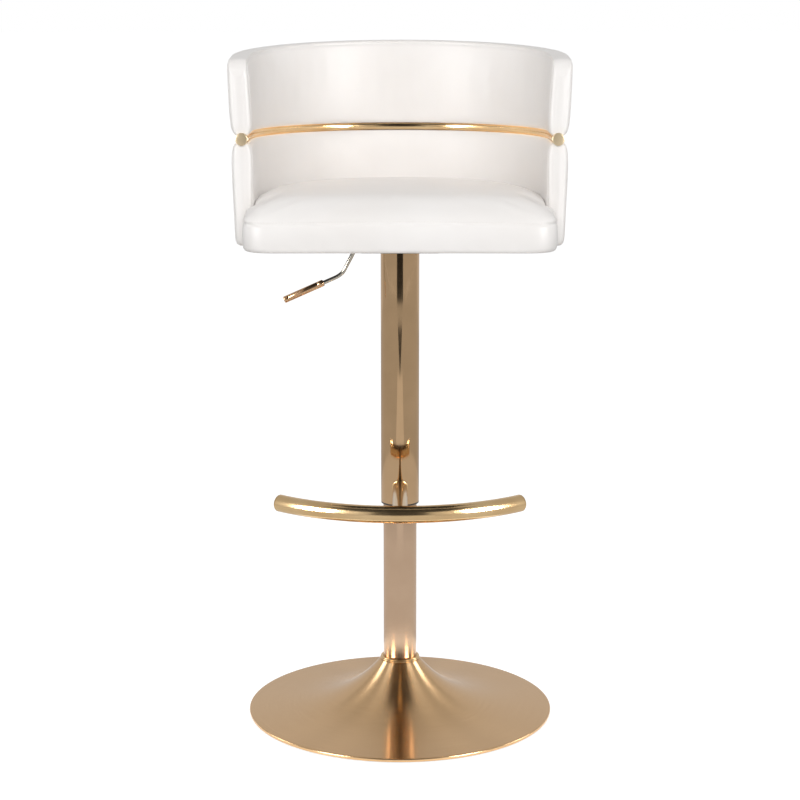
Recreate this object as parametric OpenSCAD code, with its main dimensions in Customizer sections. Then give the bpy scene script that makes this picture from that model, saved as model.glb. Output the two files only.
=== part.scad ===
// Height-adjustable bar stool: a trumpet base, a gas column under a telescoping sleeve,
// a T-shaped footrest that rises and turns with the seat, and a low barrel back whose
// two padded bands are held apart by a round rail.
// Millimetres. +Z is up, the origin is on the floor under the column, the seat faces -Y.
// The lift stands fully raised, which is where the joint values are zero.

/* [Heights] */
// Height of the crown of the seat above the floor, fully raised
seat_h = 802; // [700:1:965]
// Travel of the gas lift, downward from there
stroke = 210; // [150:5:250]

/* [Base] */
// Diameter of the round base
base_d = 460; // [380:1:556]
// Height of the turned-down rim
rim_h = 6; // [5:0.5:10]
// Height of the trumpet's neck above the floor
neck_h = 81; // [68:1:97]
// Sheet thickness of the base cover
shell_t = 1.5; // [1:0.1:2]
// Rise of the cover for each millimetre inward from the rim
shell_slope = 0.08; // [0.04:0.01:0.12]
// Thickness of the ballast disc
ballast_t = 8; // [7:0.5:10]
// Outer diameter of the flange at the column's foot
flange_d = 110; // [90:1:140]

/* [Column] */
// Outer diameter of the fixed column tube
column_d = 50; // [42:0.5:60]
// Wall of the column tube
column_wall = 2; // [1.5:0.1:2.5]
// Outer diameter of the gas cylinder
cylinder_d = 28; // [24:0.1:34]
// Wall of the gas cylinder
cylinder_wall = 1.5; // [1.2:0.1:2]
// Diameter of the piston rod
piston_rod_d = 10; // [8:0.5:12]
// Length of the plastic bush that guides the cylinder
bush_len = 70; // [55:1:85]

/* [Sleeve] */
// Gap between the column tube and the inside of the sleeve
sleeve_gap = 2; // [1.5:0.1:3]
// Wall of the sleeve
sleeve_wall = 1.5; // [1.2:0.1:2]
// Height of the plastic lip bush in the sleeve's mouth
lip_h = 16; // [12:1:20]

/* [Seat] */
// Distance from the column's axis to the front of the seat
seat_reach = 212; // [180:1:225]
// Width of the seat in front of the arms
seat_w = 434; // [360:1:440]
// Thickness of the seat, from its underside to its crown
seat_t = 74; // [60:1:90]
// Radius of the seat's front corners, in plan
seat_corner_r = 34; // [25:1:45]
// Thickness of the plywood seat board
board_t = 12; // [9:0.5:15]
// How far the board stays inside the cushion's edge
board_inset = 14; // [10:1:20]

/* [Back] */
// Radius of the barrel back, to the axis of the rail
barrel_r = 220; // [215:1:265]
// How far the barrel's centre stands in front of the column
barrel_shift = 50; // [40:1:60]
// Straight length of each arm, forward of the half circle
arm_len = 78; // [60:1:100]
// Thickness of the padded wall
wall_t = 28; // [24:0.5:34]
// Height of the back above the crown of the seat
back_rise = 206; // [170:1:250]
// How much lower the top edge is at the arms' fronts
arm_drop = 22; // [10:1:30]
// How far the upper band leans outward over its height
lean = 7; // [0:0.5:10]
// Thickness of the curved plywood inside the bands
ply_t = 9; // [7:0.5:11]

/* [Rail] */
// Height of the rail's axis above the crown of the seat
rail_rise = 75; // [62:1:90]
// Diameter of the rail
rail_d = 16; // [13:0.5:19]
// Diameter of the studs that join the rail to the bands
stud_d = 6; // [5:0.5:7]
// Number of studs around the half circle
stud_count = 5; // [3:2:7]

/* [Footrest] */
// Width of the footrest bar over its end caps
footrest_w = 365; // [300:1:440]
// Distance from the column's axis to the middle of the bar
footrest_reach = 185; // [155:1:222]
// Radius of the bar's curve
footrest_r = 260; // [225:1:320]
// Diameter of the footrest bar
bar_d = 25; // [22:0.5:30]
// Diameter of the stem
stem_d = 22; // [18:0.5:24]
// Height of the stem's axis above the sleeve's mouth
footrest_up = 26; // [22:1:32]

/* [Lever] */
// Distance from the column's axis to the lever's pivot
pivot_reach = 34; // [32:0.5:41]
// Diameter of the lever rod
lever_d = 6; // [5:0.5:7]
// Diameter of the grip
grip_d = 10; // [8.5:0.5:12]
// Length of the grip
grip_len = 64; // [54:1:77]

/* [Clearances] */
// Radial running clearance of a shaft in its bore
run_clear = 0.05; // [0.03:0.01:0.09]
// Gap between soft pieces and what they lie against
soft_gap = 0.5; // [0.4:0.1:0.8]
// Space left inside the sleeve at the bottom of the travel
end_gap = 14; // [10:1:20]
// Height of the sleeve's mouth above the base at the bottom of the travel
mouth_gap = 32; // [20:1:45]

/* [Hidden] */
$fn = 96;

// Colours
gold = [0.80, 0.62, 0.38];
steel = [0.62, 0.63, 0.65];
dark = [0.16, 0.16, 0.17];
leather = [0.94, 0.93, 0.91];
ply = [0.78, 0.64, 0.45];

eps = 0.01;
far = 2000;

// Heights, from the floor up
base_r = base_d / 2;
floor_ring_h = 4;
ballast_z = 5;
ballast_top = ballast_z + ballast_t;
flange_t = 5;
flange_top = ballast_top + flange_t;
column_floor_z = flange_top + 2;
column_floor_t = 8;
race_t = 2;
ball_d = 4;
lower_race_z = column_floor_z + column_floor_t;
ball_z = lower_race_z + race_t;
upper_race_z = ball_z + ball_d;
bumper_z = upper_race_z + race_t;
bumper_h = 14;
neck_ring_h = 5;
neck_top = neck_h + neck_ring_h;
underside_z = seat_h - seat_t;
plate_t = 2.5;
pan_h = 21;
pan_z = underside_z - pan_h;
spigot_h = 8;
column_top = pan_z - spigot_h - stroke - end_gap;
bush_z = column_top - bush_len;
sleeve_z = neck_top + stroke + mouth_gap;
footrest_z = sleeve_z + footrest_up;
cap_t = 2.5;
footrest_angle = asin((footrest_w / 2) / (footrest_r + bar_d / 2)) - atan(cap_t / footrest_r);

// Column and lift
column_r = column_d / 2;
column_bore_r = column_r - column_wall;
neck_r = column_r + 5;
cylinder_r = cylinder_d / 2;
cylinder_bore_r = cylinder_r - cylinder_wall;
rod_r = piston_rod_d / 2;
rod_foot_r = rod_r - 1;
cylinder_z = bush_z - 20;
cylinder_top = pan_z + 7;
seal_h = 20;
piston_z = cylinder_z + seal_h + 2;
piston_h = 12;
valve_h = 35;
button_r = 3;
button_top = cylinder_top + 5.8;
lever_gap = 0.4;
lever_r = lever_d / 2;
pivot_z = button_top + lever_gap + lever_r;
sleeve_bore_r = column_r + sleeve_gap;
sleeve_r = sleeve_bore_r + sleeve_wall;

// Seat plate: a channel along X with a flange on each side
pan_len = 112;
pan_w = 90;
plate_flange = 36;
hub_r = cylinder_r + 5;
bolt_x = 42;
bolt_y = pan_w / 2 + plate_flange / 2;
bolt_d = 6;

// Barrel back, measured from the barrel's own centre
barrel_y = -barrel_shift;
arm_front = barrel_y - arm_len;
wall_in = barrel_r - wall_t / 2;
wall_out = barrel_r + wall_t / 2;
rail_z = seat_h + rail_rise;
rail_r = rail_d / 2;
rail_wall = 1.5;
back_top = seat_h + back_rise;
band_gap = rail_r + soft_gap;
lower_pad_z = underside_z + 4;
top_slope = atan(arm_drop / (wall_out + arm_len));
stud_reach = 30;
stud_margin = 12;
board_cover = 4;
pad_corner = 6;

// Seat in plan
cushion_r = wall_in - soft_gap;
board_r = cushion_r - board_inset;
tongue_back = arm_front - soft_gap;
bracket_w = 30;
bracket_t = 2;
bracket_start = 150;
bracket_end = barrel_r + 5;
screw_d = 4;

// Lever: its bends, as [x, z] in the plane of the column, from the button outward
grip_tilt = 24;
grip_socket = 14;
lever_path = [[1, pivot_z], [-41, pivot_z], [-64, pivot_z - 12], [-84, pivot_z - 50],
              [-92, pivot_z - 56], [-125.8, pivot_z - 71.1]];

// A tube or ring standing on the plane z
module ring(z, h, r_out, r_in) {
    translate([0, 0, z]) difference() {
        cylinder(h = h, r = r_out);
        translate([0, 0, -eps]) cylinder(h = h + 2 * eps, r = r_in);
    }
}

// A straight rod between two points of the XZ plane
module rod_xz(a, b, r) {
    d = b - a;
    translate([a[0], 0, a[1]]) rotate([0, atan2(d[0], d[1]), 0]) cylinder(h = norm(d), r = r, $fn = 48);
}

// Copies its children to the four corners of a rectangle, for the flange bolts and the seat bolts
module at_corners(x, y) {
    for (sx = [-1, 1], sy = [-1, 1]) translate([sx * x, sy * y, 0]) children();
}

// Copies its children to the studs, evenly spaced round the bow
module at_studs() {
    for (i = [0 : stud_count - 1]) translate([0, barrel_y, 0])
        rotate([0, 0, stud_margin + i * (180 - 2 * stud_margin) / (stud_count - 1)])
            translate([barrel_r, 0, 0]) children();
}

// Copies its children to the left, the right and the rear, where straps join the seat to the back
module at_brackets() {
    for (a = [0, 90, 180]) translate([0, barrel_y, 0]) rotate([0, 0, a]) children();
}

// Sweeps a profile, drawn at its true radius from the barrel's axis, round the U of the back,
// with arms that run longer by extra
module round_barrel(extra = 0) {
    translate([0, barrel_y, 0]) {
        rotate_extrude(angle = 180, $fn = 180) children();
        for (side = [0, 1]) mirror([side, 0, 0])
            rotate([90, 0, 0]) translate([0, 0, -eps])
                linear_extrude(height = arm_len + eps + extra) children();
    }
}

// A wall profile: its foot at radius r on the plane z, leaning outward by tilt at its head
module wall_profile(r_in, t, z, h, tilt, corner) {
    polygon(concat(
        [for (a = [180 : 15 : 270]) [r_in + corner + corner * cos(a), z + corner + corner * sin(a)]],
        [for (a = [270 : 15 : 360]) [r_in + t - corner + corner * cos(a), z + corner + corner * sin(a)]],
        [for (a = [0 : 15 : 90])
            [r_in + t + tilt - corner + corner * cos(a), z + h - corner + corner * sin(a)]],
        [for (a = [90 : 15 : 180])
            [r_in + tilt + corner + corner * cos(a), z + h - corner + corner * sin(a)]]));
}

// Everything above the back's sloping top edge, lowered by drop
module above_back(drop) {
    translate([0, barrel_y + wall_out, back_top - drop]) rotate([top_slope, 0, 0])
        translate([-far / 2, -far, 0]) cube([far, 2 * far, far]);
}

// The seat in plan: round inside the barrel, wider in front of the arms, drawn inset by e
module seat_plan(e) {
    side_r = cushion_r - e;
    front_w = seat_w / 2 - e;
    corner = seat_corner_r;
    front_y = -seat_reach + e;
    difference() {
        translate([0, barrel_y]) circle(r = side_r, $fn = 180);
        translate([-far, barrel_y - far]) square([2 * far, far]);
    }
    translate([-side_r, tongue_back - e - eps]) square([2 * side_r, barrel_y - tongue_back + e + 2 * eps]);
    translate([-front_w + corner, front_y]) square([2 * (front_w - corner), corner + eps]);
    translate([-front_w, front_y + corner]) square([2 * front_w, tongue_back - e - front_y - corner]);
    for (side = [-1, 1]) translate([side * (front_w - corner), front_y + corner]) circle(r = corner);
}

// ---- Base ----

function shell_z(r) = rim_h + shell_slope * (base_r - r)
    + (neck_h - rim_h - shell_slope * (base_r - neck_r)) * pow((base_r - r) / (base_r - neck_r), 4);

module base_shell() {
    steps = 36;
    radii = [for (i = [0 : steps]) neck_r + (base_r - neck_r) * pow(i / steps, 1.3)];
    edge = 1;
    color(gold) rotate_extrude($fn = 180) polygon(concat(
        [[column_r + run_clear, neck_h], [neck_r, neck_h]],
        [for (r = radii) if (r > neck_r && r < base_r - edge) [r, shell_z(r)]],
        [[base_r - edge, rim_h], [base_r, rim_h - edge], [base_r, 1.5], [base_r - shell_t, 1.5],
         [base_r - shell_t, rim_h - shell_t]],
        [for (i = [steps : -1 : 1]) if (radii[i] < base_r - 2 * shell_t)
            [radii[i], shell_z(radii[i]) - shell_t]],
        [[neck_r - shell_t, neck_h - 2 * shell_t], [column_r + run_clear, neck_h - 2 * shell_t]]));
}

// The disc ends where the cover comes down to it, and a rim round the flange adds weight
module ballast_disc() {
    disc_r = base_r - (ballast_top + 1 + shell_t - rim_h) / shell_slope;
    rim_up = flange_t + 6;
    rim_out = 24;
    color(dark) difference() {
        union() {
            translate([0, 0, ballast_z]) cylinder(h = ballast_t, r = disc_r, $fn = 180);
            ring(ballast_top - 1, 1 + rim_up, flange_d / 2 + rim_out, flange_d / 2 + 1);
        }
        translate([0, 0, ballast_z - eps]) cylinder(h = ballast_t + 2 * eps, r = column_bore_r - 4);
        at_corners(flange_d / 4, flange_d / 4) {
            translate([0, 0, ballast_z - eps]) cylinder(h = 4, r = 7.5, $fn = 48);
            cylinder(h = far / 4, r = 4, $fn = 48);
        }
    }
}

module floor_ring() {
    out_r = base_r - shell_t - 0.5;
    color(dark) rotate_extrude($fn = 180) polygon([[out_r - 12, 1], [out_r - 11, 0], [out_r - 2, 0],
        [out_r - 1, 1], [out_r - 1, 2], [out_r, 2], [out_r, floor_ring_h], [out_r - 12, floor_ring_h]]);
}

module neck_ring() {
    in_r = column_r + run_clear;
    bead = neck_ring_h / 4;
    color(gold) rotate_extrude($fn = 120) union() {
        translate([in_r, neck_h]) square([neck_r - in_r - bead, neck_ring_h]);
        for (z = [bead, 3 * bead]) translate([neck_r - bead, neck_h + z]) circle(r = bead, $fn = 32);
    }
}

module column_flange() {
    color(steel) difference() {
        ring(ballast_top, flange_t, flange_d / 2, column_r);
        at_corners(flange_d / 4, flange_d / 4) cylinder(h = far / 4, r = 4, $fn = 48);
    }
}

module flange_bolts() {
    color(steel) at_corners(flange_d / 4, flange_d / 4) {
        translate([0, 0, ballast_z]) difference() {
            cylinder(h = 4 - eps, r = 6.5, $fn = 6);
            translate([0, 0, -eps]) cylinder(h = 1, r = 3.2, $fn = 48);
        }
        translate([0, 0, ballast_z + 1.5]) cylinder(h = flange_top - ballast_z - 1.5, r = 4, $fn = 48);
    }
}

module column_tube() {
    color(gold) ring(ballast_top, column_top - ballast_top, column_r, column_bore_r);
}

module column_floor() {
    color(steel) ring(column_floor_z, column_floor_t, column_bore_r, rod_foot_r + run_clear);
}

module lower_race() {
    color(steel) ring(lower_race_z, race_t, rod_r + 9, rod_foot_r + 2);
}

module bearing_balls() {
    ball_ring_r = rod_r + 5;
    color(steel) for (i = [0 : 9]) rotate([0, 0, 36 * i])
        translate([ball_ring_r, 0, ball_z + ball_d / 2]) sphere(r = ball_d / 2 - eps, $fn = 32);
}

module guide_bush() {
    color(dark) {
        ring(bush_z, bush_len, column_bore_r, cylinder_r + run_clear);
        ring(column_top, 3, column_r - 0.5, cylinder_r + run_clear);
    }
}

// ---- Piston rod, which turns with the seat but does not rise ----

module piston_rod() {
    foot_z = column_floor_z - 6;
    color(steel) difference() {
        union() {
            translate([0, 0, foot_z]) cylinder(h = bumper_z - foot_z, r = rod_foot_r);
            translate([0, 0, bumper_z]) cylinder(h = piston_z - bumper_z, r = rod_r);
        }
        ring(column_floor_z - 3.5, 2, rod_r + 2, rod_foot_r - 1);
    }
}

module piston() {
    color(steel) ring(piston_z, piston_h, cylinder_bore_r - run_clear, 2);
}

module upper_race() {
    color(steel) ring(upper_race_z, race_t, rod_r + 9, rod_foot_r);
}

module rubber_bumper() {
    color(dark) ring(bumper_z, bumper_h, rod_r + 10, rod_r);
}

module retaining_clip() {
    color(steel) difference() {
        ring(column_floor_z - 3.5, 2 - eps, rod_r + 3.5, rod_foot_r - 1);
        translate([0, -rod_r / 2, column_floor_z - 5]) cube([far, rod_r, 6]);
    }
}

// ---- Seat carriage: everything that rises and turns ----

module gas_cylinder() {
    color(steel) ring(cylinder_z, cylinder_top - cylinder_z, cylinder_r, cylinder_bore_r);
}

module rod_seal() {
    color(dark) ring(cylinder_z, seal_h, cylinder_bore_r, rod_r + run_clear);
}

module valve_body() {
    color(steel) ring(cylinder_top - valve_h, valve_h, cylinder_bore_r, button_r + run_clear);
}

module seat_plate() {
    half_w = pan_w / 2;
    ear_y = lever_r + 2.5;
    color(dark) difference() {
        union() {
            translate([-pan_len / 2, -half_w, pan_z]) cube([pan_len, pan_w, plate_t]);
            for (side = [-1, 1]) {
                translate([-pan_len / 2, side * (half_w - plate_t / 2) - plate_t / 2, pan_z])
                    cube([pan_len, plate_t, pan_h]);
                translate([-pan_len / 2, side * (half_w + plate_flange / 2) - plate_flange / 2,
                    underside_z - plate_t]) cube([pan_len, plate_flange, plate_t]);
                translate([side * (pan_len / 2 - plate_t / 2) - plate_t / 2, -half_w, pan_z])
                    cube([plate_t, pan_w, pan_h]);
                translate([-pivot_reach - 6, side * (ear_y + 1.25) - 1.25, pan_z])
                    cube([12, 2.5, pivot_z + 3 - pan_z]);
            }
            ring(pan_z - spigot_h, spigot_h + 1, sleeve_bore_r, sleeve_bore_r - 4);
            translate([0, 0, pan_z - spigot_h]) cylinder(h = cylinder_top + 1 - pan_z + spigot_h, r = hub_r);
        }
        translate([0, 0, pan_z - spigot_h - 1]) cylinder(h = pan_h, r = cylinder_r);
        translate([-pivot_reach, 0, pivot_z]) rotate([90, 0, 0])
            cylinder(h = pan_w / 2, r = 2, center = true, $fn = 48);
        translate([-pan_len / 2 - 5, -lever_r - 2, pan_z + plate_t]) cube([10, lever_d + 4, pan_h]);
        at_corners(bolt_x, bolt_y) translate([0, 0, underside_z - 2 * plate_t])
            cylinder(h = 3 * plate_t, r = bolt_d / 2, $fn = 48);
    }
}

module lever_pin() {
    color(steel) translate([-pivot_reach, 0, pivot_z]) rotate([90, 0, 0])
        cylinder(h = 2 * (lever_r + 6), r = 2, center = true, $fn = 48);
}

module seat_bolts() {
    color(steel) at_corners(bolt_x, bolt_y) {
        translate([0, 0, underside_z - plate_t - 4]) cylinder(h = 4, r = 5, $fn = 6);
        translate([0, 0, underside_z - plate_t - 1])
            cylinder(h = plate_t + board_t - 1 - eps, r = bolt_d / 2, $fn = 48);
    }
}

module sleeve() {
    color(gold) ring(sleeve_z, pan_z - sleeve_z, sleeve_r, sleeve_bore_r);
}

module sleeve_lip() {
    lip_reach = 2.5;
    color(dark) {
        ring(sleeve_z, lip_h, sleeve_bore_r, column_r + run_clear);
        ring(sleeve_z - lip_reach, lip_reach, sleeve_r - 0.5, column_r + run_clear);
    }
}

// ---- Footrest ----

// Sweeps a circle of radius r along the footrest's arc, between angles either side of its middle
module footrest_arc(r, half_angle) {
    translate([0, footrest_r - footrest_reach, footrest_z]) rotate([0, 0, -90 - half_angle])
        rotate_extrude(angle = 2 * half_angle, $fn = 180) translate([footrest_r, 0]) circle(r = r, $fn = 64);
}

module footrest_bar() {
    bar_wall = 1.5;
    color(gold) difference() {
        footrest_arc(bar_d / 2, footrest_angle);
        footrest_arc(bar_d / 2 - bar_wall, footrest_angle + 1);
    }
}

module footrest_stem() {
    stem_wall = 2;
    color(gold) difference() {
        translate([0, -footrest_reach, footrest_z]) rotate([-90, 0, 0]) ring(0, footrest_reach, stem_d / 2,
            stem_d / 2 - stem_wall);
        footrest_arc(bar_d / 2, footrest_angle);
        cylinder(h = far / 2, r = sleeve_r);
    }
}

module footrest_caps() {
    plug_r = bar_d / 2 - 1.5;
    color(gold) translate([0, footrest_r - footrest_reach, footrest_z]) for (side = [0, 1])
        mirror([side, 0, 0]) rotate([0, 0, -90 + footrest_angle]) translate([footrest_r, 0, 0]) {
            rotate([-90, 0, 0]) cylinder(h = cap_t, r = bar_d / 2, $fn = 64);
            translate([0, eps, 0]) rotate([90, 0, 0]) cylinder(h = 6, r = plug_r - 0.2, $fn = 64);
        }
}

// ---- Seat ----

module seat_board() {
    color(ply) difference() {
        translate([0, 0, underside_z]) linear_extrude(height = board_t) seat_plan(board_inset);
        at_corners(bolt_x, bolt_y) translate([0, 0, underside_z - eps])
            cylinder(h = board_t - 2 + eps, r = bolt_d / 2, $fn = 48);
        at_brackets() bracket_screw_places() translate([0, 0, underside_z - eps])
            cylinder(h = 10 + eps, r = screw_d / 2, $fn = 32);
    }
}

module seat_cushion() {
    color(leather) difference() {
        translate([0, 0, underside_z]) linear_extrude(height = seat_t) seat_plan(0);
        translate([0, 0, underside_z - 1]) linear_extrude(height = board_t + 1) seat_plan(board_inset);
    }
}

module dust_cover() {
    cover_t = 1;
    color(dark) difference() {
        translate([0, 0, underside_z - cover_t]) linear_extrude(height = cover_t) seat_plan(board_inset + 4);
        translate([-pan_len / 2 - 2, -bolt_y - plate_flange / 2 - 2, underside_z - 5])
            cube([pan_len + 4, 2 * bolt_y + plate_flange + 4, 10]);
        at_brackets() translate([far / 2 + bracket_start - 10, 0, underside_z])
            cube([far, bracket_w + 2, 10], center = true);
    }
}

// Screw places along a bracket: two under the board and one under the back board
module bracket_screw_places() {
    for (x = [bracket_start + 10, board_r - 8]) translate([x, 0, 0]) children();
}

module back_brackets() {
    color(steel) difference() {
        at_brackets() translate([bracket_start, -bracket_w / 2, underside_z - bracket_t])
            cube([bracket_end - bracket_start, bracket_w, bracket_t]);
        at_brackets() {
            bracket_screw_places() translate([0, 0, underside_z - 5])
                cylinder(h = 10, r = screw_d / 2, $fn = 32);
            translate([barrel_r, 0, underside_z - 5]) cylinder(h = 10, r = screw_d / 2, $fn = 32);
        }
    }
}

module wood_screw(length) {
    translate([0, 0, underside_z - bracket_t - 2]) cylinder(h = 2, r1 = 3, r2 = 4, $fn = 32);
    translate([0, 0, underside_z - bracket_t - 1])
        cylinder(h = length + bracket_t + 1, r = screw_d / 2, $fn = 32);
}

module bracket_screws() {
    color(steel) at_brackets() {
        bracket_screw_places() wood_screw(10);
        translate([barrel_r, 0, 0]) wood_screw(22);
    }
}

// ---- Barrel back ----

// The two curved boards, as the pads' hollows hold them
module lower_board_shape() {
    difference() {
        round_barrel() translate([barrel_r - ply_t / 2, underside_z])
            square([ply_t, rail_z - band_gap - underside_z - board_cover]);
        back_board_front();
    }
}

module upper_board_shape() {
    foot = rail_z + band_gap + board_cover;
    difference() {
        round_barrel() polygon([[barrel_r - ply_t / 2, foot], [barrel_r + ply_t / 2, foot],
            [barrel_r + ply_t / 2 + lean, back_top], [barrel_r - ply_t / 2 + lean, back_top]]);
        above_back(10);
        back_board_front();
    }
}

module lower_back_board() {
    color(ply) difference() {
        lower_board_shape();
        at_studs() translate([0, 0, rail_z - band_gap - stud_reach])
            cylinder(h = band_gap + stud_reach, r = stud_d / 2);
        at_brackets() translate([barrel_r, 0, underside_z - eps]) cylinder(h = 22, r = screw_d / 2, $fn = 32);
    }
}

module upper_back_board() {
    color(ply) difference() {
        upper_board_shape();
        at_studs() translate([0, 0, rail_z]) cylinder(h = band_gap + stud_reach, r = stud_d / 2);
    }
}

// Takes the last stretch off a board, so that the arms' fronts stay soft
module back_board_front() {
    translate([-far / 2, arm_front - far + 9, 0]) cube([far, far, far]);
}

module lower_back_pad() {
    height = rail_z - band_gap - lower_pad_z;
    color(leather) difference() {
        round_barrel() wall_profile(wall_in, wall_t, lower_pad_z, height, 0, pad_corner);
        lower_board_shape();
        at_studs() translate([0, 0, rail_z - band_gap - stud_reach])
            cylinder(h = band_gap + stud_reach, r = stud_d / 2);
    }
}

module upper_back_pad() {
    foot = rail_z + band_gap;
    color(leather) difference() {
        round_barrel() wall_profile(wall_in, wall_t, foot, back_top - foot, lean, pad_corner);
        above_back(0);
        upper_board_shape();
        at_studs() translate([0, 0, rail_z]) cylinder(h = band_gap + stud_reach, r = stud_d / 2);
    }
}

module rail() {
    color(gold) translate([0, 0, rail_z]) difference() {
        round_barrel() translate([barrel_r, 0]) circle(r = rail_r, $fn = 64);
        round_barrel(1) translate([barrel_r, 0]) circle(r = rail_r - rail_wall, $fn = 64);
        at_studs() cylinder(h = rail_d + 4, r = stud_d / 2, center = true);
    }
}

module rail_studs() {
    length = 2 * (band_gap + stud_reach - 1);
    color(steel) at_studs() translate([0, 0, rail_z]) cylinder(h = length, r = stud_d / 2, center = true);
}

module rail_caps() {
    cap_r = rail_r + 0.75;
    cap_len = 5;
    color(gold) for (side = [-1, 1]) translate([side * barrel_r, arm_front, rail_z]) rotate([90, 0, 0]) {
        cylinder(h = cap_len, r = cap_r, $fn = 64);
        translate([0, 0, -8]) cylinder(h = 8 + eps, r = rail_r - rail_wall, $fn = 64);
    }
}

// ---- Lever and button ----

module lever_rod() {
    color(steel) difference() {
        union() {
            for (i = [0 : len(lever_path) - 2]) rod_xz(lever_path[i], lever_path[i + 1], lever_r);
            for (i = [1 : len(lever_path) - 2]) translate([lever_path[i][0], 0, lever_path[i][1]])
                sphere(r = lever_r + 0.1, $fn = 48);
            translate([-pivot_reach, 0, pivot_z]) rotate([90, 0, 0])
                cylinder(h = 2 * (lever_r + 2), r = lever_r + 1, center = true, $fn = 48);
        }
        translate([-pivot_reach, 0, pivot_z]) rotate([90, 0, 0])
            cylinder(h = 40, r = 2 + run_clear, center = true, $fn = 48);
    }
}

module lever_grip() {
    last = lever_path[len(lever_path) - 1];
    color(gold) translate([last[0], 0, last[1]]) rotate([0, -90 - grip_tilt, 0])
        translate([0, 0, -grip_socket]) difference() {
            rotate_extrude($fn = 64) polygon([[0, 0], [grip_d / 2 - 1, 0], [grip_d / 2, 1],
                [grip_d / 2, grip_len - 1.5], [grip_d / 2 - 1.5, grip_len], [0, grip_len]]);
            translate([0, 0, -eps]) cylinder(h = grip_socket, r = lever_r, $fn = 48);
        }
}

module release_button() {
    dome = 0.8;
    color(steel) {
        translate([0, 0, cylinder_top - valve_h + 6])
            cylinder(h = button_top - dome - cylinder_top + valve_h - 6, r = button_r, $fn = 48);
        translate([0, 0, button_top - dome]) rotate_extrude($fn = 48)
            polygon([[0, 0], [button_r, 0], [button_r * 0.7, dome * 0.6], [0, dome]]);
    }
}

base_shell();
ballast_disc();
floor_ring();
neck_ring();
column_tube();
column_flange();
flange_bolts();
column_floor();
lower_race();
bearing_balls();
guide_bush();
piston_rod();
piston();
upper_race();
rubber_bumper();
retaining_clip();
gas_cylinder();
rod_seal();
valve_body();
seat_plate();
lever_pin();
seat_bolts();
sleeve();
sleeve_lip();
footrest_stem();
footrest_bar();
footrest_caps();
seat_board();
seat_cushion();
dust_cover();
back_brackets();
bracket_screws();
lower_back_board();
upper_back_board();
lower_back_pad();
upper_back_pad();
rail();
rail_studs();
rail_caps();
lever_rod();
lever_grip();
release_button();
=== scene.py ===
import math

import bmesh
import bpy
import numpy as np
from mathutils import Matrix, Vector, geometry
from mathutils.kdtree import KDTree


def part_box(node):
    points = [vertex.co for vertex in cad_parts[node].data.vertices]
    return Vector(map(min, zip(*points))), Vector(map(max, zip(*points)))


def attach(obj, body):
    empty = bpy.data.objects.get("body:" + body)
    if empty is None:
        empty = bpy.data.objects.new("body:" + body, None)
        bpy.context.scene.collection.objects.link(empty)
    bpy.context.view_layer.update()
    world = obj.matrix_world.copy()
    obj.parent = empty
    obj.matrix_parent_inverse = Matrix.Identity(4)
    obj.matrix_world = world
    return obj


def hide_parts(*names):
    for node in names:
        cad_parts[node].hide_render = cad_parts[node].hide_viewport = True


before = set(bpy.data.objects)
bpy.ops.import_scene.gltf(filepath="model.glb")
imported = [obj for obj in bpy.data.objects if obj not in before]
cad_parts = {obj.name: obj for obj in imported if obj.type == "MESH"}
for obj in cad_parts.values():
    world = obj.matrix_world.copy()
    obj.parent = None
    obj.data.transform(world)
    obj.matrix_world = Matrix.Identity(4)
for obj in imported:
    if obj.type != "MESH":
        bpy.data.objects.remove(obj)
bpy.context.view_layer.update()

MM = 0.001


# ---- Sizes, taken from the CAD parts in model.glb, and a few given here ----

def low(node):
    """Lowest corner of a CAD node."""
    return Vector(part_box(node)[0])


def high(node):
    """Highest corner of a CAD node."""
    return Vector(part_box(node)[1])


base_r = high("base_shell").x
neck_z = high("base_shell").z
neck_top = high("neck_ring").z
neck_r = high("neck_ring").x
column_r = high("column_tube").x
column_foot = low("column_tube").z
column_top = high("column_tube").z
sleeve_r = high("sleeve").x
sleeve_foot = low("sleeve").z
sleeve_top = high("sleeve").z
lip_foot = low("sleeve_lip").z
lip_top = high("sleeve_lip").z
rail_r = (high("rail").z - low("rail").z) / 2
rail_z = (high("rail").z + low("rail").z) / 2
barrel_r = high("rail").x - rail_r
barrel_y = high("rail").y - rail_r - barrel_r
arm_front = low("rail").y
wall_out = high("lower_back_pad").x
wall_half = wall_out - barrel_r
wall_in = barrel_r - wall_half
back_top = high("upper_back_pad").z
back_lean = high("upper_back_pad").x - wall_out
seat_front = low("seat_cushion").y
seat_half = high("seat_cushion").x
seat_top = high("seat_cushion").z
seat_foot = low("seat_cushion").z
board_inset = seat_half - high("seat_board").x
stem_r = (high("footrest_stem").x - low("footrest_stem").x) / 2
bar_r = (high("footrest_bar").z - low("footrest_bar").z) / 2
footrest_z = (high("footrest_bar").z + low("footrest_bar").z) / 2
footrest_front = low("footrest_bar").y + bar_r
grip_r = (high("lever_grip").y - low("lever_grip").y) / 2
rod_r = 3 * MM
rim_h = 6 * MM
cover_t = 1.5 * MM
arm_drop = 22 * MM
footrest_r = 260 * MM
seat_corner = 34 * MM
grip_len = 64 * MM
grip_tilt = math.radians(24)


# ---- Small tools ----

def mesh_piece(name, verts, faces, finish):
    """A new closed piece in its finish."""
    mesh = bpy.data.meshes.new(name)
    mesh.from_pydata([tuple(map(float, v)) for v in verts], [], [tuple(map(int, f)) for f in faces])
    mesh.materials.append(finish)
    piece = bpy.data.objects.new(name, mesh)
    bpy.context.scene.collection.objects.link(piece)
    tidy_shell(piece)
    for face in mesh.polygons:
        face.use_smooth = True
    return piece


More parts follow.
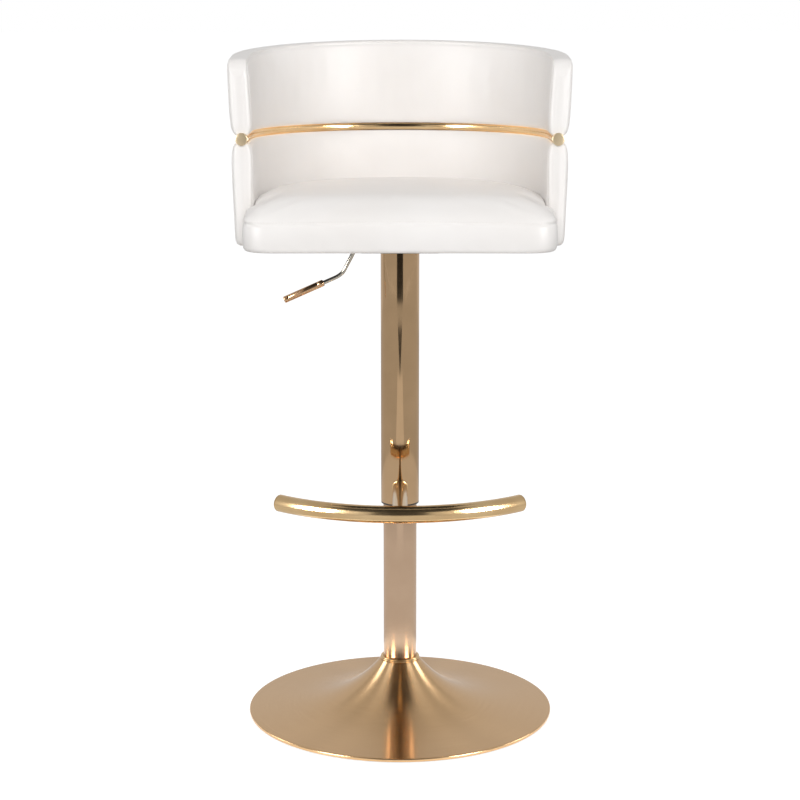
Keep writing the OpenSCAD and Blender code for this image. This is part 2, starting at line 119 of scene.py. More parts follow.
def tidy_shell(piece):
    """Merges doubles at poles and turns the faces outward."""
    work = bmesh.new()
    work.from_mesh(piece.data)
    bmesh.ops.remove_doubles(work, verts=work.verts, dist=1e-6)
    bmesh.ops.dissolve_degenerate(work, edges=work.edges, dist=1e-7)
    bmesh.ops.recalc_face_normals(work, faces=work.faces)
    if work.calc_volume(signed=True) < 0:
        bmesh.ops.reverse_faces(work, faces=work.faces)
    work.to_mesh(piece.data)
    work.free()
    piece.data.update()


def smooth_by_angle(piece, degrees=40):
    """Keeps edges sharper than the angle crisp, and the rest smooth."""
    work = bmesh.new()
    work.from_mesh(piece.data)
    limit = math.radians(degrees)
    for edge in work.edges:
        edge.smooth = edge.calc_face_angle(0.0) < limit
    for face in work.faces:
        face.smooth = True
    work.to_mesh(piece.data)
    work.free()
    return piece


def turned(name, profile, finish, steps=144, place=None):
    """Turns a closed profile of (radius, height) points round Z, then sets it in its place."""
    around = np.linspace(0, 2 * np.pi, steps, endpoint=False)
    verts = [(r * math.cos(a), r * math.sin(a), z) for r, z in profile for a in around]
    count = len(profile)
    faces = []
    for i in range(count):
        for j in range(steps):
            k = (j + 1) % steps
            n = (i + 1) % count
            faces.append((i * steps + j, i * steps + k, n * steps + k, n * steps + j))
    piece = mesh_piece(name, verts, faces, finish)
    if place is not None:
        piece.data.transform(place)
        piece.data.update()
    return smooth_by_angle(piece)


def round_corner(points, radius, steps=5):
    """Rounds the corners of a closed 2-D outline: radius is one number, or one for each corner."""
    out = []
    count = len(points)
    for i, here in enumerate(points):
        r = radius[i] if hasattr(radius, "__len__") else radius
        here = np.array(here, float)
        before = np.array(points[i - 1], float) - here
        after = np.array(points[(i + 1) % count], float) - here
        if r <= 0:
            out.append(tuple(here))
            continue
        before_len, after_len = np.linalg.norm(before), np.linalg.norm(after)
        before, after = before / before_len, after / after_len
        half = math.acos(max(-1, min(1, float(before @ after)))) / 2
        reach = min(r / math.tan(half), 0.49 * before_len, 0.49 * after_len)
        a, b = here + before * reach, here + after * reach
        for t in np.linspace(0, 1, steps):
            out.append(tuple((1 - t) ** 2 * a + 2 * t * (1 - t) * here + t ** 2 * b))
    return out


def eased_path(points, radius, steps=10):
    """An open path with its bends rounded."""
    points = [np.array(p, float) for p in points]
    out = [points[0]]
    for before, here, after in zip(points, points[1:], points[2:]):
        u, v = before - here, after - here
        reach = min(radius, 0.45 * np.linalg.norm(u), 0.45 * np.linalg.norm(v))
        a = here + u / np.linalg.norm(u) * reach
        b = here + v / np.linalg.norm(v) * reach
        for t in np.linspace(0, 1, steps):
            out.append((1 - t) ** 2 * a + 2 * t * (1 - t) * here + t ** 2 * b)
    out.append(points[-1])
    return out


def spline(points):
    """A fine polyline through the control points (centripetal Catmull-Rom)."""
    p = np.array(points, float)
    padded = np.vstack([2 * p[0] - p[1], p, 2 * p[-1] - p[-2]])
    out = []
    for i in range(1, len(padded) - 2):
        p0, p1, p2, p3 = padded[i - 1:i + 3]
        t1 = np.linalg.norm(p1 - p0) ** 0.5
        t2 = t1 + np.linalg.norm(p2 - p1) ** 0.5
        t3 = t2 + np.linalg.norm(p3 - p2) ** 0.5
        for t in np.linspace(t1, t2, 12, endpoint=False):
            a1 = (t1 - t) / t1 * p0 + t / t1 * p1
            a2 = (t2 - t) / (t2 - t1) * p1 + (t - t1) / (t2 - t1) * p2
            a3 = (t3 - t) / (t3 - t2) * p2 + (t - t2) / (t3 - t2) * p3
            b1 = (t2 - t) / t2 * a1 + t / t2 * a2
            b2 = (t3 - t) / (t3 - t1) * a2 + (t - t1) / (t3 - t1) * a3
            out.append((t2 - t) / (t2 - t1) * b1 + (t - t1) / (t2 - t1) * b2)
    out.append(p[-1])
    return np.array(out)


def along(line, lengths):
    """Points of a polyline at these lengths along it."""
    line = np.asarray(line, float)
    steps = np.linalg.norm(np.diff(line, axis=0), axis=1)
    run = np.concatenate([[0], np.cumsum(steps)])
    return np.column_stack([np.interp(lengths, run, line[:, k]) for k in range(line.shape[1])])


def length_of(line):
    """Length of a polyline."""
    return float(np.linalg.norm(np.diff(np.asarray(line, float), axis=0), axis=1).sum())


def spread(total, pitch, near_start, near_end):
    """Lengths from 0 to total, about pitch apart, with one closer point beside an end that is a seam."""
    start = [0.0] + ([near_start] if near_start else [])
    end = ([total - near_end] if near_end else []) + [total]
    inner = total - near_start - near_end
    count = max(2, round(inner / pitch))
    return start[:-1] + list(np.linspace(start[-1], end[0], count + 1)) + end[1:]


def smoothstep(x):
    """Rises smoothly from 0 to 1 as x does."""
    x = np.clip(x, 0, 1)
    return x * x * (3 - 2 * x)


# ---- Materials ----

def finish_nodes(name):
    """A new material with one principled shader."""
    material = bpy.data.materials.new(name)
    material.use_nodes = True
    tree = material.node_tree
    tree.nodes.clear()
    out = tree.nodes.new("ShaderNodeOutputMaterial")
    shader = tree.nodes.new("ShaderNodeBsdfPrincipled")
    tree.links.new(shader.outputs[0], out.inputs["Surface"])
    return material, tree, shader


def node(tree, kind, inputs=None, **settings):
    """A node with its settings, its values and its incoming links."""
    made = tree.nodes.new(kind)
    for key, value in settings.items():
        setattr(made, key, value)
    for key, value in (inputs or {}).items():
        if isinstance(value, bpy.types.NodeSocket):
            tree.links.new(value, made.inputs[key])
        else:
            made.inputs[key].default_value = value
    return made


def sums(tree, kind, a, b=0.5):
    """One arithmetic step between two values."""
    return node(tree, "ShaderNodeMath", {0: a, 1: b}, operation=kind).outputs[0]


def place_on(tree):
    """Where a point lies in the piece's own space."""
    return node(tree, "ShaderNodeTexCoord").outputs["Object"]


def grain(tree, where, scale, detail=3.0, rough=0.5, stretch=(1, 1, 1)):
    """Noise about zero to one, scale per metre, stretched along an axis for brushed or woven looks."""
    mapped = node(tree, "ShaderNodeMapping", {"Vector": where, "Scale": stretch})
    made = node(tree, "ShaderNodeTexNoise",
                {"Vector": mapped.outputs[0], "Scale": scale, "Detail": detail, "Roughness": rough})
    return made.outputs[0]


def between(tree, value, low_end, high_end, from_low=0.3, from_high=0.7):
    """Rescales a value to run from low_end to high_end."""
    made = node(tree, "ShaderNodeMapRange", {"Value": value, "From Min": from_low, "From Max": from_high,
                                             "To Min": low_end, "To Max": high_end})
    return made.outputs[0]


def tint(tree, value, stops):
    """Colours that follow a value."""
    ramp = node(tree, "ShaderNodeValToRGB", {"Fac": value})
    elements = ramp.color_ramp.elements
    while len(elements) < len(stops):
        elements.new(0.5)
    for element, (at, colour) in zip(elements, stops):
        element.position = at
        element.color = (*colour, 1)
    return ramp.outputs[0]


def bumped(tree, shader, height, distance, strength=1.0, onto=None):
    """Fine relief on the shader, laid over another relief if one is given."""
    made = node(tree, "ShaderNodeBump", {"Height": height, "Distance": distance, "Strength": strength})
    if onto is not None:
        tree.links.new(onto, made.inputs["Normal"])
    tree.links.new(made.outputs[0], shader.inputs["Normal"])
    return made.outputs[0]


def link(tree, value, shader, socket):
    """Feeds a node's output into one of the shader's sockets."""
    tree.links.new(value, shader.inputs[socket])


GOLD_DEEP = (0.66, 0.42, 0.215)
GOLD = (0.76, 0.505, 0.275)


def satin_gold():
    """Gold plate brushed in rings round the base cover."""
    material, tree, shader = finish_nodes("satin_brushed_gold")
    where = place_on(tree)
    split = node(tree, "ShaderNodeSeparateXYZ", {"Vector": where})
    flat = node(tree, "ShaderNodeCombineXYZ", {"X": split.outputs[0], "Y": split.outputs[1]})
    radius = node(tree, "ShaderNodeVectorMath", {0: flat.outputs[0]}, operation="LENGTH").outputs["Value"]
    turn = sums(tree, "ARCTAN2", split.outputs[1], split.outputs[0])
    rings_at = node(tree, "ShaderNodeCombineXYZ", {"X": radius, "Y": node(
        tree, "ShaderNodeMath", {0: turn, 1: 0.0016}, operation="MULTIPLY").outputs[0]}).outputs[0]
    fine = grain(tree, rings_at, scale=3200, detail=4, rough=0.6)
    broad = grain(tree, rings_at, scale=1300, detail=3, rough=0.55)
    drift = grain(tree, where, scale=7, detail=3, rough=0.5)
    mixed = sums(tree, "ADD", fine, broad)
    colour = tint(tree, sums(tree, "MULTIPLY", mixed, 0.5),
                  [(0.3, GOLD_DEEP), (0.7, GOLD)])
    link(tree, colour, shader, "Base Color")
    link(tree, between(tree, sums(tree, "ADD", fine, drift),
                       0.20, 0.26, 0.7, 1.3), shader, "Roughness")
    shader.inputs["Metallic"].default_value = 1
    shader.inputs["Anisotropic"].default_value = 0.9
    shader.inputs["Anisotropic Rotation"].default_value = 0.25
    tangent = node(tree, "ShaderNodeTangent", direction_type="RADIAL", axis="Z")
    link(tree, tangent.outputs[0], shader, "Tangent")
    bumped(tree, shader, mixed, distance=0.000008, strength=0.4)
    return material


def bright_gold(name, roughness=(0.07, 0.13), deep=GOLD_DEEP, main=GOLD, along_z=False):
    """Polished plated tube: faint drawing lines and a breath of haze."""
    material, tree, shader = finish_nodes(name)
    where = place_on(tree)
    lines = grain(tree, where, scale=900, detail=3, rough=0.5, stretch=(1, 1, 0.02) if along_z else (1, 1, 1))
    haze = grain(tree, where, scale=18, detail=3, rough=0.5)
    link(tree, tint(tree, haze, [(0.3, deep), (0.7, main)]), shader, "Base Color")
    mixed = sums(tree, "ADD", lines, haze)
    link(tree, between(tree, mixed, roughness[0], roughness[1], 0.7, 1.3), shader, "Roughness")
    shader.inputs["Metallic"].default_value = 1
    bumped(tree, shader, lines, distance=0.000004, strength=0.4)
    return material


def plain_metal(name, colour, roughness, metallic=1.0, speckle=260, bump=0.00003, worn=None):
    """Bare, plated, cast or powder-coated steel: mottled colour, uneven sheen, fine surface."""
    material, tree, shader = finish_nodes(name)
    where = place_on(tree)
    fine = grain(tree, where, scale=speckle * 4, detail=4, rough=0.6)
    cloud = grain(tree, where, scale=speckle / 5, detail=3, rough=0.5)
    dark = tuple(c * 0.8 for c in colour)
    light = tuple(min(1, c * 1.12) for c in colour)
    link(tree, tint(tree, cloud, [(0.3, dark), (0.7, worn or light)]), shader, "Base Color")
    link(tree, between(tree, fine, roughness * 0.85, roughness * 1.2), shader, "Roughness")
    shader.inputs["Metallic"].default_value = metallic
    bumped(tree, shader, fine, distance=bump, strength=0.6)
    return material


def moulded(name, colour, roughness, speckle=700, bump=0.00004):
    """Rubber and moulded plastic."""
    material, tree, shader = finish_nodes(name)
    where = place_on(tree)
    fine = grain(tree, where, scale=speckle, detail=4, rough=0.6)
    cloud = grain(tree, where, scale=speckle / 25, detail=2, rough=0.5)
    dark = tuple(c * 0.75 for c in colour)
    light = tuple(c * 1.3 for c in colour)
    link(tree, tint(tree, cloud, [(0.3, dark), (0.7, light)]), shader, "Base Color")
    link(tree, between(tree, fine, roughness * 0.85, roughness * 1.15), shader, "Roughness")
    shader.inputs["Specular IOR Level"].default_value = 0.4
    bumped(tree, shader, fine, distance=bump, strength=0.6)
    return material


def faux_leather():
    """White coated upholstery: pebble grain, soft creases, a satin sheen that varies."""
    material, tree, shader = finish_nodes("white_faux_leather")
    where = place_on(tree)
    warp = grain(tree, where, scale=60, detail=2, rough=0.5)
    pebble_at = node(tree, "ShaderNodeVectorMath", {0: where, 1: node(
        tree, "ShaderNodeVectorMath", {0: warp, 1: (0.004, 0.004, 0.004)}, operation="MULTIPLY").outputs[0]},
        operation="ADD").outputs[0]
    pebble = node(tree, "ShaderNodeTexVoronoi", {"Vector": pebble_at, "Scale": 850.0, "Randomness": 1.0},
                  feature="SMOOTH_F1").outputs["Distance"]
    fine = grain(tree, where, scale=2400, detail=3, rough=0.6)
    crease = grain(tree, where, scale=26, detail=5, rough=0.55)
    cloud = grain(tree, where, scale=9, detail=3, rough=0.5)
    link(tree, tint(tree, cloud, [(0.3, (0.845, 0.815, 0.790)), (0.7, (0.875, 0.850, 0.830))]),
         shader, "Base Color")
    mixed = sums(tree, "ADD", fine, cloud)
    link(tree, between(tree, mixed, 0.40, 0.50, 0.7, 1.3), shader, "Roughness")
    shader.inputs["Specular IOR Level"].default_value = 0.42
    shader.inputs["Sheen Weight"].default_value = 0.08
    shader.inputs["Sheen Roughness"].default_value = 0.5
    first = bumped(tree, shader, crease, distance=0.0011, strength=0.35)
    grain_height = sums(tree, "SUBTRACT", pebble, fine)
    bumped(tree, shader, grain_height, distance=0.00009, strength=0.5, onto=first)
    return material


def sewing_thread():
    """Twisted white thread."""
    material, tree, shader = finish_nodes("white_sewing_thread")
    where = place_on(tree)
    twist = grain(tree, where, scale=3000, detail=2, rough=0.5)
    link(tree, tint(tree, twist, [(0.3, (0.74, 0.70, 0.66)), (0.7, (0.90, 0.87, 0.84))]),
         shader, "Base Color")
    shader.inputs["Roughness"].default_value = 0.6
    bumped(tree, shader, twist, distance=0.00005, strength=0.7)
    return material


def raw_plywood():
    """Bare plywood: figure on its faces, plies on its edges."""
    material, tree, shader = finish_nodes("raw_plywood")
    where = place_on(tree)
    figure = grain(tree, where, scale=60, detail=5, rough=0.6, stretch=(0.12, 1.6, 0.4))
    pores = grain(tree, where, scale=900, detail=3, rough=0.6, stretch=(0.06, 1, 1))
    split = node(tree, "ShaderNodeSeparateXYZ", {"Vector": where})
    plies = node(tree, "ShaderNodeTexWave", {"Vector": node(tree, "ShaderNodeCombineXYZ", {
        "X": split.outputs[2]}).outputs[0], "Scale": 90.0, "Distortion": 0.6}).outputs["Fac"]
    blend = node(tree, "ShaderNodeMath", {0: figure, 1: between(tree, plies, -0.06, 0.06, 0, 1)},
                 operation="ADD").outputs[0]
    link(tree, tint(tree, blend, [(0.25, (0.40, 0.25, 0.13)), (0.5, (0.62, 0.44, 0.26)),
                                  (0.75, (0.74, 0.57, 0.37))]), shader, "Base Color")
    link(tree, between(tree, pores, 0.6, 0.8), shader, "Roughness")
    bumped(tree, shader, pores, distance=0.00015, strength=0.6)
    return material


def lining_cloth():
    """Black non-woven dust cloth: pressed fibres and rows of bonding dots."""
    material, tree, shader = finish_nodes("black_lining_cloth")
    where = place_on(tree)
    fibres = grain(tree, where, scale=700, detail=6, rough=0.7, stretch=(1, 0.25, 1))
    dots = node(tree, "ShaderNodeTexVoronoi", {"Vector": where, "Scale": 520.0, "Randomness": 0.15},
                feature="F1").outputs["Distance"]
    link(tree, tint(tree, fibres, [(0.3, (0.010, 0.010, 0.011)), (0.75, (0.045, 0.045, 0.047))]),
         shader, "Base Color")
    shader.inputs["Roughness"].default_value = 0.9
    height = sums(tree, "ADD", fibres, dots)
    bumped(tree, shader, height, distance=0.0003, strength=0.7)
    return material


cover_gold = satin_gold()
tube_gold = bright_gold("polished_gold_tube", roughness=(0.14, 0.20), deep=(0.66, 0.46, 0.31),
                        main=(0.72, 0.51, 0.35),
                        along_z=True)
sleeve_gold = bright_gold("polished_gold_sleeve", roughness=(0.06, 0.11), deep=(0.60, 0.40, 0.225),
                          main=(0.68, 0.455, 0.26),
                          along_z=True)
rail_gold = bright_gold("polished_gold_rail", roughness=(0.15, 0.20), deep=(0.74, 0.50, 0.25),
                        main=(0.84, 0.61, 0.34))
cap_gold = bright_gold("satin_gold_cap", roughness=(0.34, 0.44), deep=(0.70, 0.55, 0.35),
                       main=(0.80, 0.66, 0.45))
grip_gold = bright_gold("gold_lever_grip", roughness=(0.14, 0.22), deep=(0.66, 0.40, 0.22),
                        main=(0.76, 0.50, 0.30))
lever_steel = plain_metal("bright_lever_steel", (0.62, 0.58, 0.50), 0.16)
bright_steel = plain_metal("bright_ground_steel", (0.72, 0.72, 0.73), 0.14, bump=0.00001)
zinc_steel = plain_metal("zinc_plated_steel", (0.56, 0.57, 0.58), 0.33, speckle=120)
black_steel = plain_metal("black_powder_coat", (0.028, 0.028, 0.030), 0.48, 0.0, 340, 0.00008)
cast_iron = plain_metal("cast_iron", (0.085, 0.083, 0.080), 0.66, 0.6, 200, 0.00025, worn=(0.12, 0.10, 0.085))
rubber = moulded("black_rubber", (0.022, 0.022, 0.023), roughness=0.72)
plastic = moulded("black_moulded_plastic", (0.028, 0.028, 0.030), roughness=0.40, speckle=500)
leather = faux_leather()
thread = sewing_thread()
plywood = raw_plywood()
lining = lining_cloth()

slot_finish = {
    "brushed_gold": cover_gold,
    "polished_gold": tube_gold,
    "bright_steel": bright_steel,
    "plain_steel": zinc_steel,
    "black_steel": black_steel,
    "iron": cast_iron,
    "black_rubber": rubber,
    "black_plastic": plastic,
    "white_leather": leather,
    "plywood": plywood,
    "black_lining": lining,
}


# ---- Geometry Nodes ----

def new_tree(name, sockets):
    """A geometry tree with named inputs, and a helper that wires its nodes."""
    tree = bpy.data.node_groups.new(name, "GeometryNodeTree")
    tree.interface.new_socket("Geometry", in_out="INPUT", socket_type="NodeSocketGeometry")
    for label, kind in sockets:
        tree.interface.new_socket(label, in_out="INPUT", socket_type=kind)
    tree.interface.new_socket("Geometry", in_out="OUTPUT", socket_type="NodeSocketGeometry")
    given = tree.nodes.new("NodeGroupInput")
    result = tree.nodes.new("NodeGroupOutput")
    return tree, given, result


def finish_tree(tree, given, result, shape):
    """Ends a tree: one real mesh, smooth, in its finish."""
    real = node(tree, "GeometryNodeRealizeInstances", {"Geometry": shape})
    smooth = node(tree, "GeometryNodeSetShadeSmooth", {"Geometry": real.outputs[0]})
    painted = node(tree, "GeometryNodeSetMaterial",
                   {"Geometry": smooth.outputs[0], "Material": given.outputs["Finish"]})
    tree.links.new(painted.outputs[0], result.inputs[0])


def tube_tree():
    """A round tube of one radius along the path of the piece's own points."""
    tree, given, result = new_tree("tube along a path", [
        ("Tube Radius", "NodeSocketFloat"), ("Sides", "NodeSocketInt"), ("Finish", "NodeSocketMaterial")])
    path = node(tree, "GeometryNodeMeshToCurve", {"Mesh": given.outputs["Geometry"]})
    circle = node(tree, "GeometryNodeCurvePrimitiveCircle", {
        "Resolution": given.outputs["Sides"], "Radius": given.outputs["Tube Radius"]})
    tube = node(tree, "GeometryNodeCurveToMesh", {
        "Curve": path.outputs[0], "Profile Curve": circle.outputs[0], "Fill Caps": True})
    finish_tree(tree, given, result, tube.outputs[0])
    return tree


def spots_along(tree, given):
    """Points one pitch apart along the path, and the turn that lays a thing along it."""
    path = node(tree, "GeometryNodeMeshToCurve", {"Mesh": given.outputs["Geometry"]})
    places = node(tree, "GeometryNodeResampleCurve", {
        "Curve": path.outputs[0], "Length": given.outputs["Pitch"]}, mode="LENGTH")
    points = node(tree, "GeometryNodeCurveToPoints", {"Curve": places.outputs[0]}, mode="EVALUATED")
    aim = node(tree, "FunctionNodeAlignRotationToVector", {"Vector": points.outputs["Tangent"]}, axis="X")
    return points, aim


def stitch_tree():
    """Stitches laid end to end along a seam, one every pitch."""
    tree, given, result = new_tree("stitches along a seam", [
        ("Pitch", "NodeSocketFloat"), ("Stitch Length", "NodeSocketFloat"),
        ("Thread Radius", "NodeSocketFloat"), ("Finish", "NodeSocketMaterial")])
    points, aim = spots_along(tree, given)
    ball = node(tree, "GeometryNodeMeshUVSphere", {"Segments": 6, "Rings": 4, "Radius": 1.0})
    half = node(tree, "ShaderNodeMath", {0: given.outputs["Stitch Length"], 1: 0.5}, operation="MULTIPLY")
    size = node(tree, "ShaderNodeCombineXYZ", {
        "X": half.outputs[0], "Y": given.outputs["Thread Radius"], "Z": given.outputs["Thread Radius"]})
    stitches = node(tree, "GeometryNodeInstanceOnPoints", {
        "Points": points.outputs["Points"], "Instance": ball.outputs["Mesh"],
        "Rotation": aim.outputs[0], "Scale": size.outputs[0]})
    finish_tree(tree, given, result, stitches.outputs[0])
    return tree


def staple_tree():
    """Flat wire staples along an edge, each lying along it with its face down."""
    tree, given, result = new_tree("staples along an edge", [
        ("Pitch", "NodeSocketFloat"), ("Crown Width", "NodeSocketFloat"), ("Wire", "NodeSocketFloat"),
        ("Seed", "NodeSocketInt"), ("Finish", "NodeSocketMaterial")])
    points, aim = spots_along(tree, given)
    crooked = node(tree, "FunctionNodeRandomValue", {
        "Min": (0, 0, -0.12), "Max": (0, 0, 0.12), "Seed": given.outputs["Seed"]}, data_type="FLOAT_VECTOR")
    turned_by = node(tree, "FunctionNodeRotateRotation", {
        "Rotation": aim.outputs[0], "Rotate By": crooked.outputs[0]}, rotation_space="LOCAL")
    size = node(tree, "ShaderNodeCombineXYZ", {
        "X": given.outputs["Crown Width"], "Y": given.outputs["Wire"], "Z": given.outputs["Wire"]})
    wire = node(tree, "GeometryNodeMeshCube", {"Size": size.outputs[0]})
    staples = node(tree, "GeometryNodeInstanceOnPoints", {
        "Points": points.outputs["Points"], "Instance": wire.outputs["Mesh"],
        "Rotation": turned_by.outputs[0]})
    finish_tree(tree, given, result, staples.outputs[0])
    return tree


tube_nodes = tube_tree()
stitch_nodes = stitch_tree()
staple_nodes = staple_tree()


def from_tree(name, paths, tree, closed=False, **inputs):
    """Runs a tree on one or more paths and returns the plain mesh piece."""
    verts = []
    edges = []
    for path in paths:
        first = len(verts)
        verts += [tuple(map(float, p)) for p in path]
        edges += [(first + i, first + i + 1) for i in range(len(path) - 1)]
        if closed:
            edges.append((len(verts) - 1, first))
    mesh = bpy.data.meshes.new(name + "_path")
    mesh.from_pydata(verts, edges, [])
    holder = bpy.data.objects.new(name + "_path", mesh)
    bpy.context.scene.collection.objects.link(holder)
    modifier = holder.modifiers.new(tree.name, "NODES")
    modifier.node_group = tree
    for item in tree.interface.items_tree:
        if item.item_type == "SOCKET" and item.in_out == "INPUT" and item.name != "Geometry":
            modifier[item.identifier] = inputs[item.name.lower().replace(" ", "_")]
    seen = holder.evaluated_get(bpy.context.evaluated_depsgraph_get())
    result = bpy.data.meshes.new_from_object(seen)
    result.name = name
    piece = bpy.data.objects.new(name, result)
    bpy.context.scene.collection.objects.link(piece)
    bpy.data.objects.remove(holder)
    work = bmesh.new()
    work.from_mesh(result)
    if work.calc_volume(signed=True) < 0:
        bmesh.ops.reverse_faces(work, faces=work.faces)
    work.to_mesh(result)
    work.free()
    return piece


# ---- Base: cover, ring at the neck, floor ring and lower tube ----

def cover_height(r):
    """Height of the trumpet at a radius: nearly flat outside, steep at the neck."""
    slope = 0.08
    fall = (base_r - r) / (base_r - neck_r)
    return rim_h + slope * (base_r - r) + (neck_z - rim_h - slope * (base_r - neck_r)) * fall ** 4


def base_cover():
    """The trumpet: top, rolled rim, underside and neck as one closed section."""
    bore = column_r + 0.05 * MM
    steps = 72
    radii = [neck_r + (base_r - 1.2 * MM - neck_r) * (i / steps) ** 1.3 for i in range(steps + 1)]
    top = [(r, cover_height(r)) for r in radii]
    rim = [(base_r - 0.55 * MM, rim_h - 0.12 * MM), (base_r - 0.15 * MM, rim_h - 0.5 * MM),
           (base_r, rim_h - 1.1 * MM), (base_r, 2.6 * MM), (base_r - 0.25 * MM, 1.9 * MM),
           (base_r - 0.7 * MM, 1.5 * MM), (base_r - 1.2 * MM, 1.7 * MM), (base_r - cover_t, 2.4 * MM),
           (base_r - cover_t, rim_h - cover_t)]
    under = [(r, cover_height(r) - cover_t) for r in reversed(radii) if r < base_r - 3 * MM]
    neck = [(bore, neck_z - 2 * cover_t), (bore, neck_z)]
    return turned("base_cover", top + rim + under + neck, cover_gold, 192)


def neck_collar():
    """Two soft beads, the upper one smaller, where the tube enters the cover."""
    bore = column_r + 0.05 * MM
    h = neck_top - neck_z
    lower = [(neck_r - 1.5 * MM + 1.5 * MM * math.cos(a), neck_z + 0.30 * h + 1.5 * MM * math.sin(a))
             for a in np.radians([-75, -50, -25, 0, 25, 50, 70])]
    upper = [(neck_r - 2.2 * MM + 1.25 * MM * math.cos(a), neck_z + 0.74 * h + 1.25 * MM * math.sin(a))
             for a in np.radians([-60, -30, 0, 30, 60, 90])]
    mouth = [(bore + 0.8 * MM, neck_top - 0.1 * MM), (bore, neck_top - 0.5 * MM)]
    profile = [(bore, neck_z)] + lower + upper + mouth
    return turned("neck_collar", profile, rail_gold, 144)


def tube_profile(r, wall, foot, head, round_r):
    """Section of a tube wall with rounded ends."""
    return round_corner([(r - wall, foot), (r, foot), (r, head), (r - wall, head)], round_r, steps=4)


def floor_pad():
    """The rubber ring under the base, with its ribs."""
    out_r = high("floor_ring").x
    in_r = out_r - 12 * MM
    h = high("floor_ring").z
    ribs = [(in_r, h), (in_r, 1 * MM), (in_r + 1 * MM, 0), (in_r + 3.4 * MM, 0), (in_r + 4 * MM, 0.7 * MM),
            (in_r + 5 * MM, 0.7 * MM), (in_r + 5.6 * MM, 0), (in_r + 9 * MM, 0), (out_r - 1.3 * MM, 1 * MM),
            (out_r - 1 * MM, 2 * MM), (out_r, 2.1 * MM), (out_r, h)]
    return turned("floor_pad", ribs, rubber, 144)


cover = base_cover()
collar = neck_collar()
pad_ring = floor_pad()
lower_tube = turned("lower_tube", tube_profile(column_r, 2 * MM, column_foot, column_top, 0.5 * MM),
                    tube_gold, 144)

# ---- Sleeve, lip and footrest ----

sleeve_tube = turned("sleeve_tube", tube_profile(sleeve_r, 1.5 * MM, sleeve_foot, sleeve_top, 0.5 * MM),
                     sleeve_gold, 160)
lip_bore = column_r + 0.05 * MM
lip = turned("sleeve_mouth_lip", round_corner([
    (lip_bore, lip_top), (lip_bore, lip_foot), (sleeve_r - 0.2 * MM, lip_foot),
    (sleeve_r - 0.2 * MM, sleeve_foot), (sleeve_r - 1.5 * MM, sleeve_foot), (sleeve_r - 1.5 * MM, lip_top)],
    [0, 0.4 * MM, 1.1 * MM, 0, 0, 0], steps=5), plastic, 120)

footrest_y = footrest_front + footrest_r
cap_depth = 2.5 * MM
sweep = math.asin((high("footrest_caps").x) / (footrest_r + bar_r)) - math.atan(cap_depth / footrest_r)
bar_path = [(footrest_r * math.sin(a), footrest_y - footrest_r * math.cos(a), footrest_z)
            for a in np.linspace(-sweep, sweep, 97)]
bar_tube = from_tree("footrest_bar_tube", [bar_path], tube_nodes, tube_radius=bar_r, sides=56,
                     finish=rail_gold)
stem_path = [(0, y, footrest_z) for y in np.linspace(-sleeve_r + 0.6 * MM, footrest_front + 2 * MM, 24)]
stem_tube = from_tree("footrest_stem_tube", [stem_path], tube_nodes, tube_radius=stem_r, sides=48,
                      finish=rail_gold)


def end_cap(name, r, depth, finish, at, outward):
    """A domed disc with a rounded edge, set on a tube's end."""
    profile = [(0, 0), (r - 0.3 * MM, 0), (r, 0.3 * MM)]
    profile += [(r - 1.1 * MM + 1.1 * MM * math.cos(a), depth - 1.1 * MM + 1.1 * MM * math.sin(a))
                for a in np.radians([0, 22, 45, 68, 90])]
    profile += [(r * 0.6, depth + 0.12 * MM), (r * 0.3, depth + 0.2 * MM), (0, depth + 0.22 * MM)]
    turn = Vector(outward).to_track_quat("Z", "Y").to_matrix().to_4x4()
    return turned(name, profile, finish, 72, Matrix.Translation(at) @ turn)


def weld_bead(name, r, bead, finish, around_r):
    """A fine fillet where the stem meets an upright tube of radius around_r, on the side toward -Y."""
    path = []
    for a in np.linspace(0, 2 * np.pi, 72, endpoint=False):
        x = r * math.cos(a)
        path.append((x, -math.sqrt(around_r ** 2 - x ** 2), footrest_z + r * math.sin(a)))
    return from_tree(name, [path], tube_nodes, closed=True, tube_radius=bead, sides=12, finish=finish)


footrest_ends = []
for side, label in ((-1, "left"), (1, "right")):
    angle = side * sweep
    at = Vector((footrest_r * math.sin(angle), footrest_y - footrest_r * math.cos(angle), footrest_z))
    outward = Vector((math.cos(angle) * side, math.sin(angle) * side, 0))
    footrest_ends.append(end_cap("footrest_cap_" + label, bar_r, cap_depth, rail_gold, at, outward))
stem_weld = weld_bead("stem_weld", stem_r, 0.9 * MM, rail_gold, sleeve_r)

# ---- Rail round the back, with its round end caps ----


def round_the_back(pitch=4 * MM):
    """The U of the back: points from the left arm's front to the right's."""
    r = barrel_r
    arms = np.linspace(arm_front, barrel_y, max(2, int((barrel_y - arm_front) / pitch)),
                       endpoint=False)
    turns = np.linspace(math.pi, 0, int(math.pi * r / pitch) + 1)
    left = [(-r, y) for y in arms]
    bow = [(r * math.cos(t), barrel_y + r * math.sin(t)) for t in turns]
    return left + bow + [(r, y) for y in reversed(arms)]


rail_path = [(x, y, rail_z) for x, y in round_the_back()]
back_rail = from_tree("back_rail_tube", [rail_path], tube_nodes, tube_radius=rail_r, sides=40,
                      finish=rail_gold)
rail_cap_r = (high("rail_caps").z - low("rail_caps").z) / 2
rail_ends = [end_cap("rail_cap_" + label, rail_cap_r, arm_front - low("rail_caps").y, cap_gold,
                     Vector((side * barrel_r, arm_front, rail_z)), Vector((0, -1, 0)))
             for side, label in ((-1, "left"), (1, "right"))]

# ---- Lever ----

